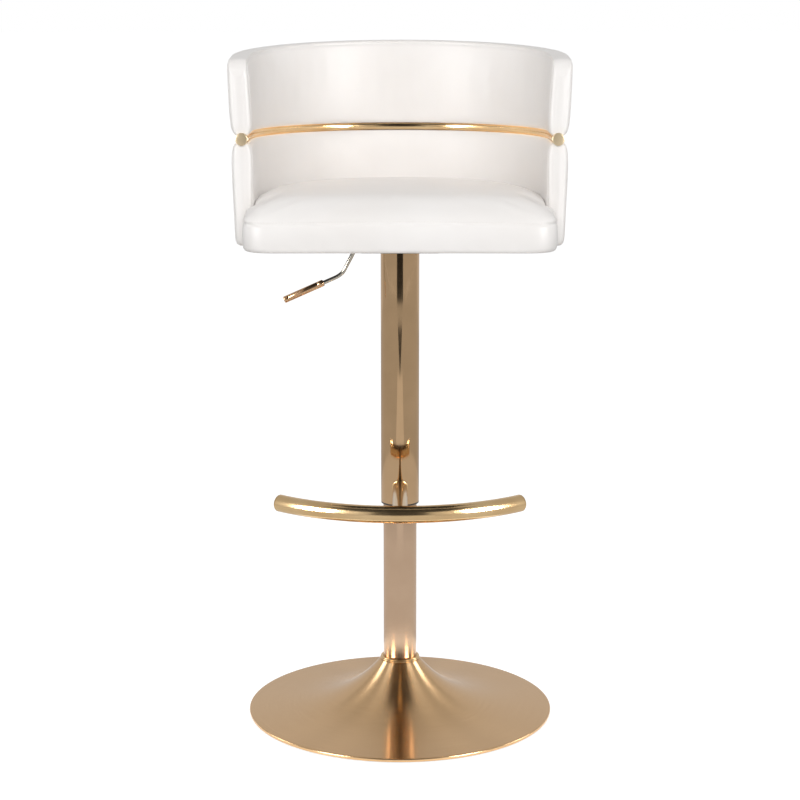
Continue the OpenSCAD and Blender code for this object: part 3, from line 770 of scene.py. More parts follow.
grip_lo = low("lever_grip")
rod_hi = high("lever_rod")
grip_axis = Vector((-math.cos(grip_tilt), 0, -math.sin(grip_tilt)))
grip_tip = Vector((grip_lo.x + grip_r * math.sin(grip_tilt), 0, grip_lo.z + grip_r * math.cos(grip_tilt)))
grip_start = grip_tip - grip_axis * grip_len
pivot = Vector((-34 * MM, 0, rod_hi.z - 4 * MM))
lever_bends = [(1 * MM, 0, pivot.z), (-41 * MM, 0, pivot.z), (-64 * MM, 0, pivot.z - 12 * MM),
               (-84 * MM, 0, pivot.z - 50 * MM), (-92 * MM, 0, pivot.z - 56 * MM),
               tuple(grip_start + grip_axis * 14 * MM)]
lever_line = eased_path(lever_bends, 7 * MM, steps=9)
lever_wire = from_tree("lever_rod_bent", [lever_line], tube_nodes, tube_radius=rod_r,
                       sides=28, finish=lever_steel)
grip_profile = [(0, 0)] + [(grip_r - 1.6 * MM + 1.6 * MM * math.cos(a), 1.6 * MM + 1.6 * MM * math.sin(a))
                           for a in np.radians([-90, -60, -30, 0])]
for groove in (9 * MM, grip_len - 8 * MM):
    grip_profile += [(grip_r, groove - 0.5 * MM), (grip_r - 0.25 * MM, groove), (grip_r, groove + 0.5 * MM)]
grip_profile += [(grip_r - 1.6 * MM + 1.6 * MM * math.cos(a), grip_len - 1.6 * MM + 1.6 * MM * math.sin(a))
                 for a in np.radians([0, 30, 60, 90])]
grip_profile += [(0, grip_len)]
grip = turned("lever_grip_sleeve", grip_profile, grip_gold, 64,
              Matrix.Translation(grip_start) @ grip_axis.to_track_quat("Z", "Y").to_matrix().to_4x4())
boss = turned("lever_pivot_boss", round_corner([
    (2.05 * MM, -5 * MM), (4 * MM, -5 * MM), (4 * MM, 5 * MM), (2.05 * MM, 5 * MM)], 0.4 * MM, steps=4),
    lever_steel, 40, Matrix.Translation(pivot) @ Matrix.Rotation(math.pi / 2, 4, "X"))

# ---- Padded bands of the back ----


def mm_line(points):
    """A smooth line through points given in millimetres."""
    return spline(points) * MM


def band_rings():
    """Half-sections of the two bands, (across, up) from the rail's axis: outer side from foot to head."""
    lower_out = mm_line([(4, -149.6), (8.4, -148.2), (10.8, -143), (11.6, -131), (13.0, -95), (14.3, -60),
                         (14.7, -35), (14.2, -20), (12.6, -11.4), (10.4, -6.9), (8.6, -5.2), (7.0, -5.0)])
    lower_in = mm_line([(-4, -149.6), (-9.6, -148.2), (-13.2, -142), (-14, -131), (-14, -95), (-14.2, -70),
                        (-14.8, -50), (-14.8, -32), (-14.2, -20), (-12.6, -11.4), (-10.4, -6.9), (-8.6, -5.2),
                        (-7.0, -5.0)])
    upper_out = mm_line([(7.0, 5.0), (8.6, 5.2), (10.4, 6.9), (12.6, 11.4), (14.3, 20), (15.0, 35),
                         (15.2, 65), (14.9, 95), (14.5, 116), (13.9, 126.6)])
    upper_in = upper_out * [-1, 1]
    return lower_out, lower_in, upper_out, upper_in


def cheek(a, r):
    """How far a rounded end has drawn in at a distance a from its tip."""
    return np.where(a < r, r - np.sqrt(np.maximum(r * r - (r - a) ** 2, 0)), 0)


SEAM_AT = 5.6 * MM
end_steps = [v * MM for v in (0, 0.35, 1.1, 2.4, 4.2, 5.6, 7.0, 9.2, 12, 15.5, 20)]


def stations():
    """Lengths along the U where the band's section is drawn, closer together at the arms' fronts."""
    total = 2 * (barrel_y - arm_front) + math.pi * barrel_r
    pitch = 4.2 * MM
    reach = end_steps[-1]
    middle = np.linspace(reach, total - reach, int((total - 2 * reach) / pitch) + 1)
    return np.concatenate([end_steps[:-1], middle, total - np.array(end_steps[:-1])[::-1]]), total


def on_the_u(s, total):
    """Point and outward direction on the rail's line at length s."""
    arm = barrel_y - arm_front
    if s < arm:
        return (-barrel_r, arm_front + s), (-1, 0)
    if s > total - arm:
        return (barrel_r, arm_front + total - s), (1, 0)
    turn = math.pi - (s - arm) / barrel_r
    return (barrel_r * math.cos(turn), barrel_y + barrel_r * math.sin(turn)), (math.cos(turn), math.sin(turn))


def coons(ring, n_side, n_top):
    """Fills a ring of points, laid out as side, top, side, foot, with a grid: rows up the sides."""
    side_out = ring[:n_side]
    top = ring[n_side - 1:n_side + n_top + 1]
    side_in = ring[n_side + n_top:2 * n_side + n_top][::-1]
    foot = np.vstack([ring[2 * n_side + n_top - 1:], ring[:1]])[::-1]
    rows, cols = n_side, n_top + 2
    grid = np.zeros((rows, cols, 3))
    for i in range(rows):
        v = i / (rows - 1)
        for j in range(cols):
            u = j / (cols - 1)
            edges = (1 - u) * side_out[i] + u * side_in[i] + (1 - v) * foot[j] + v * top[j]
            corners = ((1 - u) * (1 - v) * foot[0] + u * (1 - v) * foot[-1]
                       + (1 - u) * v * top[0] + u * v * top[-1])
            grid[i, j] = edges - corners
    return grid


def band_shell(name, out_side, in_side, n_side, top_line, foot_line, n_top, upper):
    """One padded band: its section swept round the U, drawn in at both fronts, and closed there."""
    seam_side = 1.5 * MM
    lengths = spread(length_of(out_side), length_of(out_side) / (n_side - 2),
                     0.0 if upper else seam_side, seam_side if upper else 0.0)
    if len(lengths) >= n_side:
        lengths = np.array(lengths)[:n_side]
    else:
        lengths = np.linspace(0, length_of(out_side), n_side)
    lengths[-1] = length_of(out_side)
    outer = along(out_side, lengths)
    inner = along(in_side, lengths / length_of(out_side) * length_of(in_side))
    top = along(top_line, np.linspace(0, length_of(top_line), n_top + 2))[1:-1]
    foot = along(foot_line, np.linspace(0, length_of(foot_line), n_top + 2))[1:-1]
    section = np.vstack([outer, top, inner[::-1], foot])
    spots, total = stations()
    low_edge = section[:, 1].min()
    high_edge = section[:, 1].max()
    rings = []
    for s in spots:
        (x, y), (nx, ny) = on_the_u(s, total)
        a = min(s, total - s)
        across = section[:, 0] * (1 - cheek(np.array(a), 8 * MM) / wall_half)
        up = section[:, 1].copy()
        if upper:
            slope_y = min(max(y, arm_front), barrel_y + wall_out)
            run = barrel_y + wall_out
            head = (back_top - rail_z) - arm_drop * (run - slope_y) / (wall_out + barrel_y - arm_front)
            head -= float(cheek(np.array(a), 20 * MM))
            up = low_edge + (up - low_edge) * (head - low_edge) / (high_edge - low_edge)
            across = across + back_lean * np.clip(up / (back_top - rail_z), 0, 1)
        else:
            foot_z = low_edge + float(cheek(np.array(a), 9 * MM))
            up = high_edge + (up - high_edge) * (foot_z - high_edge) / (low_edge - high_edge)
        rings.append(np.column_stack([x + nx * across, y + ny * across, rail_z + up]))
    rings = np.array(rings)
    count = section.shape[0]
    verts = rings.reshape(-1, 3)
    faces = []
    for i in range(len(spots) - 1):
        for j in range(count):
            k = (j + 1) % count
            faces.append((i * count + j, i * count + k, (i + 1) * count + k, (i + 1) * count + j))
    seams = {"count": count, "n_side": n_side, "rows": len(spots)}
    extra = []
    for at, ring in ((0, rings[0]), (len(spots) - 1, rings[-1])):
        grid = coons(ring, n_side, n_top)
        rows, cols = grid.shape[:2]
        index = np.zeros((rows, cols), int)
        first = at * count
        for i in range(rows):
            index[i, 0] = first + i
            index[i, -1] = first + 2 * n_side + n_top - 1 - i
        for j in range(1, cols - 1):
            index[-1, j] = first + n_side - 1 + j
            index[0, j] = first + count - j
        for i in range(1, rows - 1):
            for j in range(1, cols - 1):
                index[i, j] = len(verts) + len(extra)
                bulge = 1.2 * MM * math.sin(math.pi * j / (cols - 1))
                bulge *= math.sin(math.pi * i / (rows - 1)) ** 0.3
                extra.append(grid[i, j] + [0, -bulge, 0])
        for i in range(rows - 1):
            for j in range(cols - 1):
                faces.append((index[i, j], index[i + 1, j], index[i + 1, j + 1], index[i, j + 1]))
    verts = np.vstack([verts, np.array(extra)])
    piece = mesh_piece(name, verts, faces, leather)
    return piece, seams


def calmed(piece, moved, pinned, passes):
    """Evens out how far neighbouring points have moved, the sewn ones staying put."""
    pairs = np.array([edge.vertices[:] for edge in piece.data.edges])
    number = np.bincount(pairs.ravel(), minlength=len(moved))[:, None]
    sewn = sorted(int(i) for i in pinned)
    for _ in range(passes):
        total = np.zeros_like(moved)
        np.add.at(total, pairs[:, 0], moved[pairs[:, 1]])
        np.add.at(total, pairs[:, 1], moved[pairs[:, 0]])
        moved = 0.5 * moved + 0.5 * total / np.maximum(number, 1)
        moved[sewn] = 0
    return moved


def puff(piece, pinned, most, pressure=4.0, give=0.0, passes=3):
    """Fills a closed cover with air for 20 frames, and keeps each point within most of its start."""
    scene = bpy.context.scene
    group = piece.vertex_groups.new(name="sewn")
    group.add([int(i) for i in pinned], 1.0, "REPLACE")
    start = np.array([v.co[:] for v in piece.data.vertices])
    cloth = piece.modifiers.new("padding", "CLOTH")
    settings = cloth.settings
    settings.quality = 5
    settings.mass = 0.35
    settings.tension_stiffness = 18
    settings.compression_stiffness = 18
    settings.shear_stiffness = 8
    settings.bending_stiffness = 1.2
    settings.use_pressure = True
    settings.uniform_pressure_force = pressure
    settings.shrink_min = -give
    settings.vertex_group_mass = "sewn"
    settings.effector_weights.gravity = 0
    cloth.collision_settings.use_self_collision = False
    cloth.point_cache.frame_start = 1
    cloth.point_cache.frame_end = 20
    for moment in range(1, 21):
        scene.frame_set(moment)
    seen = piece.evaluated_get(bpy.context.evaluated_depsgraph_get())
    filled = np.array([v.co[:] for v in seen.data.vertices])
    piece.modifiers.remove(cloth)
    scene.frame_set(1)
    moved = filled - start
    moved = calmed(piece, moved, pinned, passes)
    size = np.linalg.norm(moved, axis=1)
    keep = most * np.tanh(size / most) / np.maximum(size, 1e-9)
    settled = start + moved * keep[:, None]
    for vertex, place in zip(piece.data.vertices, settled):
        vertex.co = place
    piece.vertex_groups.clear()
    piece.data.update()


def subdivided(piece, levels=1):
    """Applies one smooth subdivision."""
    modifier = piece.modifiers.new("smooth", "SUBSURF")
    modifier.levels = levels
    modifier.render_levels = levels
    seen = piece.evaluated_get(bpy.context.evaluated_depsgraph_get())
    mesh = bpy.data.meshes.new_from_object(seen)
    piece.modifiers.clear()
    old = piece.data
    piece.data = mesh
    mesh.name = piece.name
    bpy.data.meshes.remove(old)
    for face in mesh.polygons:
        face.use_smooth = True
    return piece


def surface_points(piece, line, lift):
    """Lays a line of points onto the piece's surface, raised by lift."""
    out = []
    for point in line:
        _, place, normal, _ = piece.closest_point_on_mesh(Vector(point))
        out.append(place + normal * lift)
    return out


def sink_seam(piece, lines, depth, width):
    """Draws a narrow furrow into the surface along each line."""
    points = [Vector(point) for line in lines for point in line]
    tree = KDTree(len(points))
    for i, point in enumerate(points):
        tree.insert(point, i)
    tree.balance()
    mesh = piece.data
    moves = []
    for vertex in mesh.vertices:
        _, _, distance = tree.find(vertex.co)
        if distance < 3 * width:
            moves.append((vertex.index, vertex.normal.copy(), depth * math.exp(-(distance / width) ** 2)))
    for index, normal, by in moves:
        mesh.vertices[index].co -= normal * by
    mesh.update()


def dense(line, pitch=0.8 * MM):
    """The same line with points about one pitch apart."""
    total = length_of(line)
    return along(line, np.linspace(0, total, int(total / pitch) + 2))


def build_bands():
    """The two padded bands, filled, with their seams drawn in."""
    lower_out, lower_in, upper_out, upper_in = band_rings()
    hug = 8.7 * MM
    arc = [math.radians(a) for a in np.linspace(-35.5, -144.5, 24)]
    lower_top = np.array([(hug * math.cos(a), hug * math.sin(a)) for a in arc])
    lower_foot = np.array([(-4 * MM, -149.6 * MM), (0, -149.8 * MM), (4 * MM, -149.6 * MM)])
    upper_foot = lower_top[::-1] * [1, -1]
    crown = mm_line([(13.9, 126.6), (13.3, 129.2), (11.2, 130.9), (6, 131.6), (0, 131.8), (-6, 131.6),
                     (-11.2, 130.9), (-13.3, 129.2), (-13.9, 126.6)])
    n_top = 12
    n_low, n_up = 34, 32
    lower, low_seams = band_shell("lower_back_band", lower_out, lower_in, n_low, lower_top, lower_foot,
                                  n_top, False)
    upper, up_seams = band_shell("upper_back_band", upper_out, upper_in, n_up, crown, upper_foot, n_top, True)
    made = []
    for piece, info, upper_one in ((lower, low_seams, False), (upper, up_seams, True)):
        count, n_side, rows = info["count"], info["n_side"], info["rows"]
        verts = np.array([v.co[:] for v in piece.data.vertices])
        body = rows * count
        pinned = set(range(body, len(verts)))
        seam_row = [end_steps.index(SEAM_AT), rows - 1 - end_steps.index(SEAM_AT)]
        for i in range(rows):
            inside = [i * count + j for j in range(count)]
            if i <= seam_row[0] or i >= seam_row[1]:
                pinned.update(inside)
                continue
            if upper_one:
                pinned.update(inside[:3] + inside[n_side - 1:n_side + n_top + 1]
                              + inside[2 * n_side + n_top - 3:])
            else:
                pinned.update(inside[:2] + inside[n_side - 3:n_side + n_top + 3]
                              + inside[2 * n_side + n_top - 2:])
        lines = []
        for row in seam_row:
            for columns in (range(3 if upper_one else 2, n_side),
                            range(n_side + n_top, 2 * n_side + n_top - 2)):
                ids = [row * count + j for j in columns]
                lines.append(verts[ids])
        if upper_one:
            for column in (n_side - 1, n_side + n_top):
                lines.append(verts[[i * count + column for i in range(seam_row[0], seam_row[1] + 1)]])
        puff(piece, pinned, most=2.8 * MM, pressure=4.0, give=0.001, passes=9)
        subdivided(piece)
        lines = [surface_points(piece, dense(line), 0) for line in lines]
        sink_seam(piece, lines, 1.1 * MM, 1.5 * MM)
        made.append((piece, lines))
    return made


(lower_band, lower_lines), (upper_band, upper_lines) = build_bands()


# ---- Seat cushion ----

def seat_outline(inset=0.0):
    """The seat in plan, anticlockwise from its front's middle: wide before the arms, round behind."""
    side = wall_in - 0.5 * MM - inset
    half = seat_half - inset
    front = seat_front + inset
    corner = seat_corner
    notch = arm_front - 0.5 * MM - inset
    line = [(0, front), (half - corner, front)]
    for a in np.radians(np.linspace(-90, 0, 14)):
        line.append((half - corner + corner * math.cos(a), front + corner + corner * math.sin(a)))
    line += [(half, notch - 9 * MM), (half - 1.5 * MM, notch - 4 * MM), (half - 5 * MM, notch - 0.5 * MM),
             (side + 1.5 * MM, notch + 1.5 * MM), (side + 0.2 * MM, notch + 5 * MM), (side, notch + 12 * MM),
             (side, barrel_y - 8 * MM)]
    for a in np.radians(np.linspace(0, 90, 46)):
        line.append((side * math.cos(a), barrel_y + side * math.sin(a)))
    right = np.array(line)
    left = right[::-1] * [-1, 1]
    return np.vstack([right, left[1:]])


def closest_distance(points, line):
    """Distance of each 2-D point from a closed polyline."""
    a = line[:-1]
    b = line[1:]
    ab = b - a
    size = (ab ** 2).sum(1)
    best = np.full(len(points), 1e9)
    for i in range(len(a)):
        if size[i] < 1e-14:
            continue
        t = np.clip(((points - a[i]) @ ab[i]) / size[i], 0, 1)
        best = np.minimum(best, np.linalg.norm(points - a[i] - t[:, None] * ab[i], axis=1))
    return best


def seat_shell():
    """An O-shaped grid: rings from the sewn edge inward over the roll, and a square patch in the middle."""
    side_count = 64
    outline = seat_outline(1.0 * MM)
    total = length_of(outline)
    corner_run = length_of(outline[:8])
    turn_index = 15 + 8 + 23
    rear_run = length_of(outline[:turn_index])
    marks = [-corner_run, corner_run, rear_run, total - rear_run, total - corner_run]
    runs = []
    for start, end in zip(marks, marks[1:]):
        runs += list(np.linspace(start, end, side_count, endpoint=False))
    edge = along(outline, np.mod(runs, total))
    n = len(edge)
    half = 70 * MM
    centre = np.array([0, -30 * MM])
    walk = np.linspace(-half, half, side_count, endpoint=False)
    square = np.vstack([np.column_stack([walk, np.full(side_count, -half)]),
                        np.column_stack([np.full(side_count, half), walk]),
                        np.column_stack([-walk, np.full(side_count, half)]),
                        np.column_stack([np.full(side_count, -half), -walk])]) + centre
    roll = 62 * MM
    reaches = [roll * (1 - math.cos(a)) for a in np.radians(np.linspace(0, 90, 17))]
    gap = np.linalg.norm(square - edge, axis=1)
    rings = []
    for reach in reaches:
        share = reach / gap
        rings.append(edge + (square - edge) * share[:, None])
    rest = 16
    for i in range(1, rest):
        share = (roll / gap) + (1 - roll / gap) * i / rest
        rings.append(edge + (square - edge) * share[:, None])
    rings.append(square)
    plan = np.vstack(rings)
    inner_walk = np.linspace(-half, half, side_count + 1)[1:-1]
    patch = np.array([(x, y) for y in inner_walk for x in inner_walk]) + centre
    top_plan = np.vstack([plan, patch])
    drop = closest_distance(top_plan, outline)
    drop[:n] = 0
    roll_end = -100 * MM
    before = smoothstep((roll_end - top_plan[:, 1]) / (60 * MM))
    reach = 26 * MM + (roll - 26 * MM) * before
    fall = 9.5 * MM + (30 * MM - 9.5 * MM) * before
    ease = np.sqrt(np.maximum(1 - (1 - np.clip(drop / reach, 0, 1)) ** 2, 0))
    from_centre = np.linalg.norm(top_plan - [0, -20 * MM], axis=1) / (210 * MM)
    crown = seat_top - 1.0 * MM - 3.2 * MM * np.clip(from_centre, 0, 1.2) ** 2
    z = crown - fall * (1 - ease)
    top = np.column_stack([top_plan, z])
    verts = list(top)
    faces = []
    levels = len(rings)
    for i in range(levels - 1):
        for j in range(n):
            k = (j + 1) % n
            faces.append((i * n + j, i * n + k, (i + 1) * n + k, (i + 1) * n + j))
    last = (levels - 1) * n
    width = side_count - 1
    base = levels * n
    index = np.zeros((side_count + 1, side_count + 1), int)
    for c in range(side_count + 1):
        index[0, c] = last + c
        index[c, -1] = last + side_count + c
        index[-1, side_count - c] = last + 2 * side_count + c
        index[side_count - c, 0] = last + (3 * side_count + c) % n
    index[0, 0] = last
    for r in range(width):
        for c in range(width):
            index[r + 1, c + 1] = base + r * width + c
    for r in range(side_count):
        for c in range(side_count):
            faces.append((index[r, c], index[r, c + 1], index[r + 1, c + 1], index[r + 1, c]))
    # The side falls from the seam, tucks under the board and turns up inside it
    seam = top[:n]
    inward = square - edge
    inward = inward / np.linalg.norm(inward, axis=1)[:, None]
    foot = seat_foot - 0.9 * MM
    levels_down = []
    heights = seam[:, 2] - foot
    for t in (0.035, 0.09, 0.18, 0.30, 0.42, 0.54, 0.66, 0.78, 0.88):
        belly = 1.5 * MM * math.sin(math.pi * min(1, t * 1.05))
        levels_down.append(np.column_stack([edge - inward * belly, seam[:, 2] - heights * t]))
    for reach_in, up in ((0.5, 3.6), (1.6, 1.7), (3.6, 0.5), (7, 0.0), (13, 0.0), (20, 0.0), (27, 0.0),
                         (30, 0.4), (30.5, 3), (30.5, 9)):
        levels_down.append(np.column_stack([edge + inward * reach_in * MM, np.full(n, foot + up * MM)]))
    start = len(verts)
    for ring in levels_down:
        verts += list(ring)
    previous = 0
    for i in range(len(levels_down)):
        here = start + i * n
        for j in range(n):
            k = (j + 1) % n
            faces.append((previous + j, here + j, here + k, previous + k))
        previous = here
    hub = len(verts)
    verts.append(np.array([0, -30 * MM, foot + 9 * MM]))
    for j in range(n):
        faces.append((previous + j, hub, previous + (j + 1) % n))
    piece = mesh_piece("seat_cushion_cover", np.array(verts), faces, leather)
    return piece, n, start


def build_seat():
    """The seat cushion, filled, with the seam round its top edge drawn in."""
    piece, n, start = seat_shell()
    verts = np.array([v.co[:] for v in piece.data.vertices])
    seam_line = np.vstack([verts[:n], verts[:1]])
    pinned = set(range(n)) | set(range(start + 9 * n, len(verts)))
    puff(piece, pinned, most=4.0 * MM, pressure=4.0, give=0.006)
    subdivided(piece)
    line = surface_points(piece, dense(seam_line), 0)
    sink_seam(piece, [line], 1.1 * MM, 1.6 * MM)
    return piece, line


seat_cover, seat_line = build_seat()


# ---- Stitches, dust cloth and staples ----

def stitch_line(piece, line, shift, normal_lift=0.15 * MM):
    """The seam's line, moved sideways over the surface by shift."""
    line = [Vector(p) for p in line]
    out = []
    for i, point in enumerate(line):
        ahead = line[min(i + 3, len(line) - 1)] - line[max(i - 3, 0)]
        _, place, normal, _ = piece.closest_point_on_mesh(point)
        sideways = normal.cross(ahead).normalized()
        _, place, normal, _ = piece.closest_point_on_mesh(point + sideways * shift)
        out.append(place + normal * normal_lift)
    return out


def build_dust_cloth():
    """The black cloth under the seat: flat between its staples, open round the plate."""
    outline = seat_outline(board_inset + 4 * MM)[:-1]
    plate_lo, plate_hi = low("seat_plate"), high("seat_plate")
    margin = 2 * MM
    hole = [(plate_lo.x - margin, plate_lo.y - margin), (plate_hi.x + margin, plate_lo.y - margin),
            (plate_hi.x + margin, plate_hi.y + margin), (plate_lo.x - margin, plate_hi.y + margin)]
    pitch = 9 * MM
    points = [tuple(p) for p in outline]
    edges = [(i, (i + 1) % len(points)) for i in range(len(points))]
    for loop in (round_corner(hole, 6 * MM, steps=5),):
        first = len(points)
        points += loop
        edges += [(first + i, first + (i + 1) % len(loop)) for i in range(len(loop))]
    xs = np.arange(-seat_half, seat_half, pitch)
    ys = np.arange(seat_front, barrel_y + barrel_r, pitch)
    inside = np.array([(x, y) for x in xs for y in ys])
    closed = np.vstack([outline, outline[:1]])
    keep = closest_distance(inside, closed) > 4 * MM
    points += [tuple(p) for p in inside[keep]]
    result = geometry.delaunay_2d_cdt([Vector(p) for p in points], edges, [], 0, 1e-6)
    flat, faces = result[0], result[2]

    def wanted(x, y):
        """Whether a point lies on the cloth: inside the outline and clear of the seat plate."""
        if plate_lo.x - margin < x < plate_hi.x + margin and plate_lo.y - margin < y < plate_hi.y + margin:
            return False
        crossing = False
        j = len(outline) - 1
        for i in range(len(outline)):
            (x1, y1), (x2, y2) = outline[i], outline[j]
            if (y1 > y) != (y2 > y) and x < (x2 - x1) * (y - y1) / (y2 - y1) + x1:
                crossing = not crossing
            j = i
        return crossing

    kept = []
    for face in faces:
        centre = sum((Vector(flat[i]) for i in face), Vector((0, 0))) / len(face)
        if wanted(centre.x, centre.y):
            kept.append(face)
    plan = np.array([tuple(p) for p in flat])
    rim = closest_distance(plan, closed)
    sag = 0.35 * MM * np.clip(rim / (30 * MM), 0, 1)
    rumple = 0.12 * MM * np.sin(plan[:, 0] * 190 + 3 * np.sin(plan[:, 1] * 70)) * np.cos(plan[:, 1] * 150)
    z = seat_foot - 1.15 * MM - sag + rumple * np.clip(rim / (12 * MM), 0, 1)
    verts = np.column_stack([plan, z])
    mesh = bpy.data.meshes.new("dust_cloth")
    mesh.from_pydata([tuple(v) for v in verts], [], [tuple(f) for f in kept])
    mesh.materials.append(lining)
    piece = bpy.data.objects.new("dust_cloth", mesh)
    bpy.context.scene.collection.objects.link(piece)
    work = bmesh.new()
    work.from_mesh(mesh)
    loose = [v for v in work.verts if not v.link_faces]
    bmesh.ops.delete(work, geom=loose, context="VERTS")
    bmesh.ops.recalc_face_normals(work, faces=work.faces)
    if work.faces[0].normal.z > 0:
        bmesh.ops.reverse_faces(work, faces=work.faces)
    work.to_mesh(mesh)
    work.free()
    solid = piece.modifiers.new("thickness", "SOLIDIFY")
    solid.thickness = 0.3 * MM
    solid.offset = 0
    seen = piece.evaluated_get(bpy.context.evaluated_depsgraph_get())
    thick = bpy.data.meshes.new_from_object(seen)
    piece.modifiers.clear()
    piece.data = thick
    for face in thick.polygons:
        face.use_smooth = True
    area = float(sum(f.area for f in mesh.polygons))
    size = tuple(float(v) for v in np.ptp(outline, axis=0))
    return piece, area, size


dust_cloth, dust_area, dust_size = build_dust_cloth()
staple_line = seat_outline(board_inset + 9 * MM)
staple_path = [(x, y, seat_foot - 1.55 * MM) for x, y in staple_line]
staples = from_tree("dust_cloth_staples", [staple_path], staple_nodes, pitch=34 * MM, crown_width=10 * MM,
                    wire=0.7 * MM, seed=7, finish=zinc_steel)


def sew(name, cover, seams):
    """A row of stitches beside each seam of a cover."""
    beside = 3.2 * MM
    return from_tree(name, [stitch_line(cover, seam, beside) for seam in seams], stitch_nodes, pitch=4.2 * MM,
                     stitch_length=3.2 * MM, thread_radius=0.32 * MM, finish=thread)


upper_sewing = sew("upper_band_stitches", upper_band, upper_lines)
lower_sewing = sew("lower_band_stitches", lower_band, lower_lines)
seat_sewing = sew("seat_stitches", seat_cover, [seat_line])

# ---- CAD pieces that stay get their finishes ----

for name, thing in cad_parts.items():
    for slot in thing.material_slots:
        if slot.material is None:
            continue
        key = slot.material.name.split(".")[0]
        for label, finish in slot_finish.items():
            if label in key:
                slot.material = finish
                break

# ---- What rides on what ----

belongs = [
    (cover, "base", "base_shell", "brushed_gold"),
    (collar, "base", "neck_ring", "polished_gold"),
    (pad_ring, "base", "floor_ring", "black_rubber"),
    (lower_tube, "base", "column_tube", "polished_gold"),
    (sleeve_tube, "seat", "sleeve", "polished_gold"),
    (lip, "seat", "sleeve_lip", "black_plastic"),
    (bar_tube, "seat", "footrest_bar", "polished_gold"),
    (stem_tube, "seat", "footrest_stem", "polished_gold"),
    (stem_weld, "seat", None, "polished_gold"),
    (footrest_ends[0], "seat", "footrest_caps", "polished_gold"),
    (footrest_ends[1], "seat", None, "polished_gold"),
    (back_rail, "seat", "rail", "polished_gold"),
    (rail_ends[0], "seat", "rail_caps", "polished_gold"),
    (rail_ends[1], "seat", None, "polished_gold"),
    (lever_wire, "lever", "lever_rod", "bright_steel"),
    (boss, "lever", None, "bright_steel"),
    (grip, "lever", "lever_grip", "polished_gold"),
    (lower_band, "seat", "lower_back_pad", "white_leather"),
    (upper_band, "seat", "upper_back_pad", "white_leather"),
    (seat_cover, "seat", "seat_cushion", "white_leather"),
    (upper_sewing, "seat", None, "white_leather"),
    (lower_sewing, "seat", None, "white_leather"),
    (seat_sewing, "seat", None, "white_leather"),
    (dust_cloth, "seat", "dust_cover", "black_lining"),
    (staples, "seat", None, "plain_steel"),
]
for piece, body, stands_for, slot_name in belongs:
    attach(piece, body)
    if stands_for:
        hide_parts(stands_for)

# ---- Studio ----

scene = bpy.context.scene
camera_lens = 90.72
camera_distance = 2.945
camera_height = 1.071
camera_tilt = 11.31
camera = bpy.data.cameras.new("camera")
camera.lens = camera_lens
camera.sensor_width = 36
camera_place = bpy.data.objects.new("camera", camera)
camera_place.location = (0, -camera_distance, camera_height)
camera_place.rotation_euler = (math.radians(90 - camera_tilt), 0, 0)
scene.collection.objects.link(camera_place)
scene.camera = camera_place
scene.view_settings.view_transform = "Standard"
scene.view_settings.look = "None"


def plain_surface(name, colour, roughness=0.9):
    """A dull surface of one colour."""
    material, _, shader = finish_nodes(name)
    shader.inputs["Base Color"].default_value = (*colour, 1)
    shader.inputs["Roughness"].default_value = roughness
    shader.inputs["Specular IOR Level"].default_value = 0.1
    return material


def stage_card(name, corners, finish, seen=True):
    """A flat sheet of the studio."""
    mesh = bpy.data.meshes.new(name)
    mesh.from_pydata(corners, [], [(0, 1, 2, 3)])
    mesh.materials.append(finish)
    card = bpy.data.objects.new(name, mesh)
    scene.collection.objects.link(card)
    if not seen:
        only_in_reflections(card)
    return card


def only_in_reflections(card):
    """Hides a card from everything but the polished metal."""
    card.visible_camera = False
    card.visible_diffuse = False
    card.visible_shadow = False
    card.visible_transmission = False


def glowing(name, strength):
    """A card that shows one even brightness in reflections."""
    material, _, shader = finish_nodes(name)
    shader.inputs["Base Color"].default_value = (0, 0, 0, 1)
    shader.inputs["Specular IOR Level"].default_value = 0
    shader.inputs["Emission Color"].default_value = (1, 1, 1, 1)
    shader.inputs["Emission Strength"].default_value = strength
    return material


def floor_card(name, inner, outer, strength, height):
    """A ring on the floor that shows only in the metal."""
    mesh = bpy.data.meshes.new(name)
    verts = [(r * math.cos(a), r * math.sin(a), height) for r in (inner, outer)
             for a in np.radians(range(0, 360, 5))]
    mesh.from_pydata(verts, [], [(i, (i + 1) % 72, 72 + (i + 1) % 72, 72 + i) for i in range(72)])
    mesh.materials.append(glowing(name, strength))
    card = bpy.data.objects.new(name, mesh)
    scene.collection.objects.link(card)
    only_in_reflections(card)


def flat_card(name, corners, strength):
    """A flat glowing sheet that shows only in the metal."""
    return stage_card(name, corners, glowing(name, strength), False)


def lit_group(name, pieces, state):
    """A set of pieces that a lamp either leaves out or keeps to."""
    group = bpy.data.collections.new(name)
    for piece in pieces:
        group.objects.link(piece)
    for entry in group.collection_objects:
        entry.light_linking.link_state = state
    return group


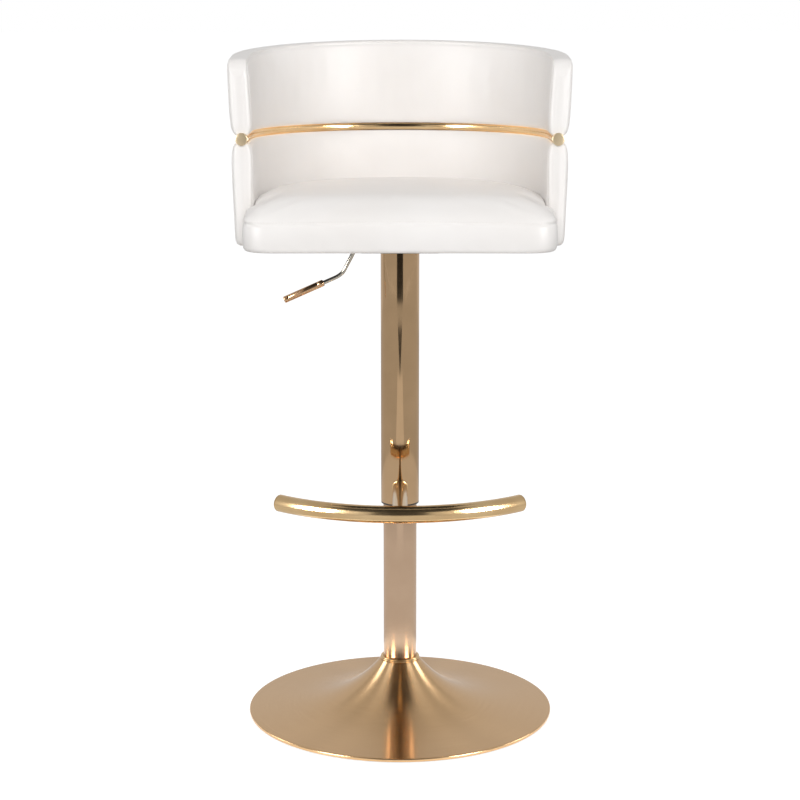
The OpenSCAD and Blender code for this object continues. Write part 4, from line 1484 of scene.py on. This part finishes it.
def studio_light():
    """The floor, the cards that the metal mirrors, the lamps and the backdrop."""
    floor = 60
    pale = plain_surface("pale_floor", (0.60, 0.60, 0.60))
    glow = pale.node_tree.nodes["Principled BSDF"]
    glow.inputs["Emission Color"].default_value = (1, 1, 1, 1)
    glow.inputs["Emission Strength"].default_value = 0.72
    ground = stage_card("studio_floor", [(-floor, -floor, 0), (floor, -floor, 0), (floor, floor, 0),
                                         (-floor, floor, 0)], pale)
    ground.visible_diffuse = False
    floor_card("near_floor", inner=0.30, outer=1.25, strength=0.66, height=0.003)
    floor_card("far_floor", inner=1.25, outer=55.0, strength=0.52, height=0.003)
    flat_card("paper_strip", [(-0.75, -2.9, 0.006), (0.75, -2.9, 0.006), (0.55, -1.2, 0.006),
                              (-0.55, -1.2, 0.006)], strength=0.74)
    flat_card("dark_wedge", [(-0.03, -2.9, 0.01), (0.03, -2.9, 0.01), (1.7, -7.5, 0.01),
                             (-1.7, -7.5, 0.01)], strength=0.08)
    flat_card("dark_backing", [(-1.5, -4.6, 0.5), (1.5, -4.6, 0.5), (1.5, -4.6, 4.0),
                               (-1.5, -4.6, 4.0)], strength=0.03)
    flat_card("dark_ceiling", [(-3.0, -4.6, 4.0), (3.0, -4.6, 4.0), (2.6, -0.7, 4.6),
                               (-2.6, -0.7, 4.6)], strength=0.03)
    flat_card("pale_wall", [(-6, 3.5, 0.02), (6, 3.5, 0.02), (6, 3.5, 2.6), (-6, 3.5, 2.6)],
              strength=0.65)
    no_key = lit_group("no_key_light", (lower_tube, sleeve_tube, collar, bar_tube, back_rail), "EXCLUDE")
    no_side = lit_group("no_side_light", [sleeve_tube, bar_tube] + footrest_ends, "EXCLUDE")
    bars = lit_group("bars", (bar_tube, back_rail), "INCLUDE")
    for side, label in ((-1, "left"), (1, "right")):
        key = softbox("key_" + label, (side * 2.3, -1.95, 1.15), (0, 0, 0.5),
                      width=1.25, height=1.0, power=90)
        key.visible_diffuse = False
        key.light_linking.receiver_collection = no_key
        spark = softbox("bar_key_" + label, (side * 2.42, -1.77, 1.15), (0, 0, 0.5),
                        width=1.0, height=1.7, power=260)
        spark.visible_diffuse = False
        spark.light_linking.receiver_collection = bars
        rim = softbox("side_" + label, (side * 2.7, 0.55, 1.3), (0, 0, 0.3),
                      width=0.9, height=1.6, power=26)
        rim.visible_diffuse = False
        rim.light_linking.receiver_collection = no_side
    fill = softbox("front_fill", (0, -3.9, 2.6), (0, 0, 0.85), width=5.6, height=1.6, power=124)
    fill.visible_glossy = False
    world = bpy.data.worlds.new("studio")
    world.use_nodes = True
    scene.world = world
    tree = world.node_tree
    tree.nodes.clear()
    out = tree.nodes.new("ShaderNodeOutputWorld")
    ambient = node(tree, "ShaderNodeBackground", {"Color": (1, 1, 1, 1), "Strength": 0.52})
    backdrop = node(tree, "ShaderNodeBackground", {"Color": (1, 1, 1, 1), "Strength": 1.0})
    seen = node(tree, "ShaderNodeLightPath")
    pick = node(tree, "ShaderNodeMixShader", {0: seen.outputs["Is Camera Ray"], 1: ambient.outputs[0],
                                              2: backdrop.outputs[0]})
    tree.links.new(pick.outputs[0], out.inputs[0])


def softbox(name, place, aim, width, height, power):
    """A rectangular lamp aimed at a point."""
    light = bpy.data.lights.new(name, "AREA")
    light.shape = "RECTANGLE"
    light.size = width
    light.size_y = height
    light.energy = power
    thing = bpy.data.objects.new(name, light)
    thing.location = place
    thing.rotation_euler = (Vector(aim) - Vector(place)).to_track_quat("-Z", "Y").to_euler()
    scene.collection.objects.link(thing)
    return thing


studio_light()
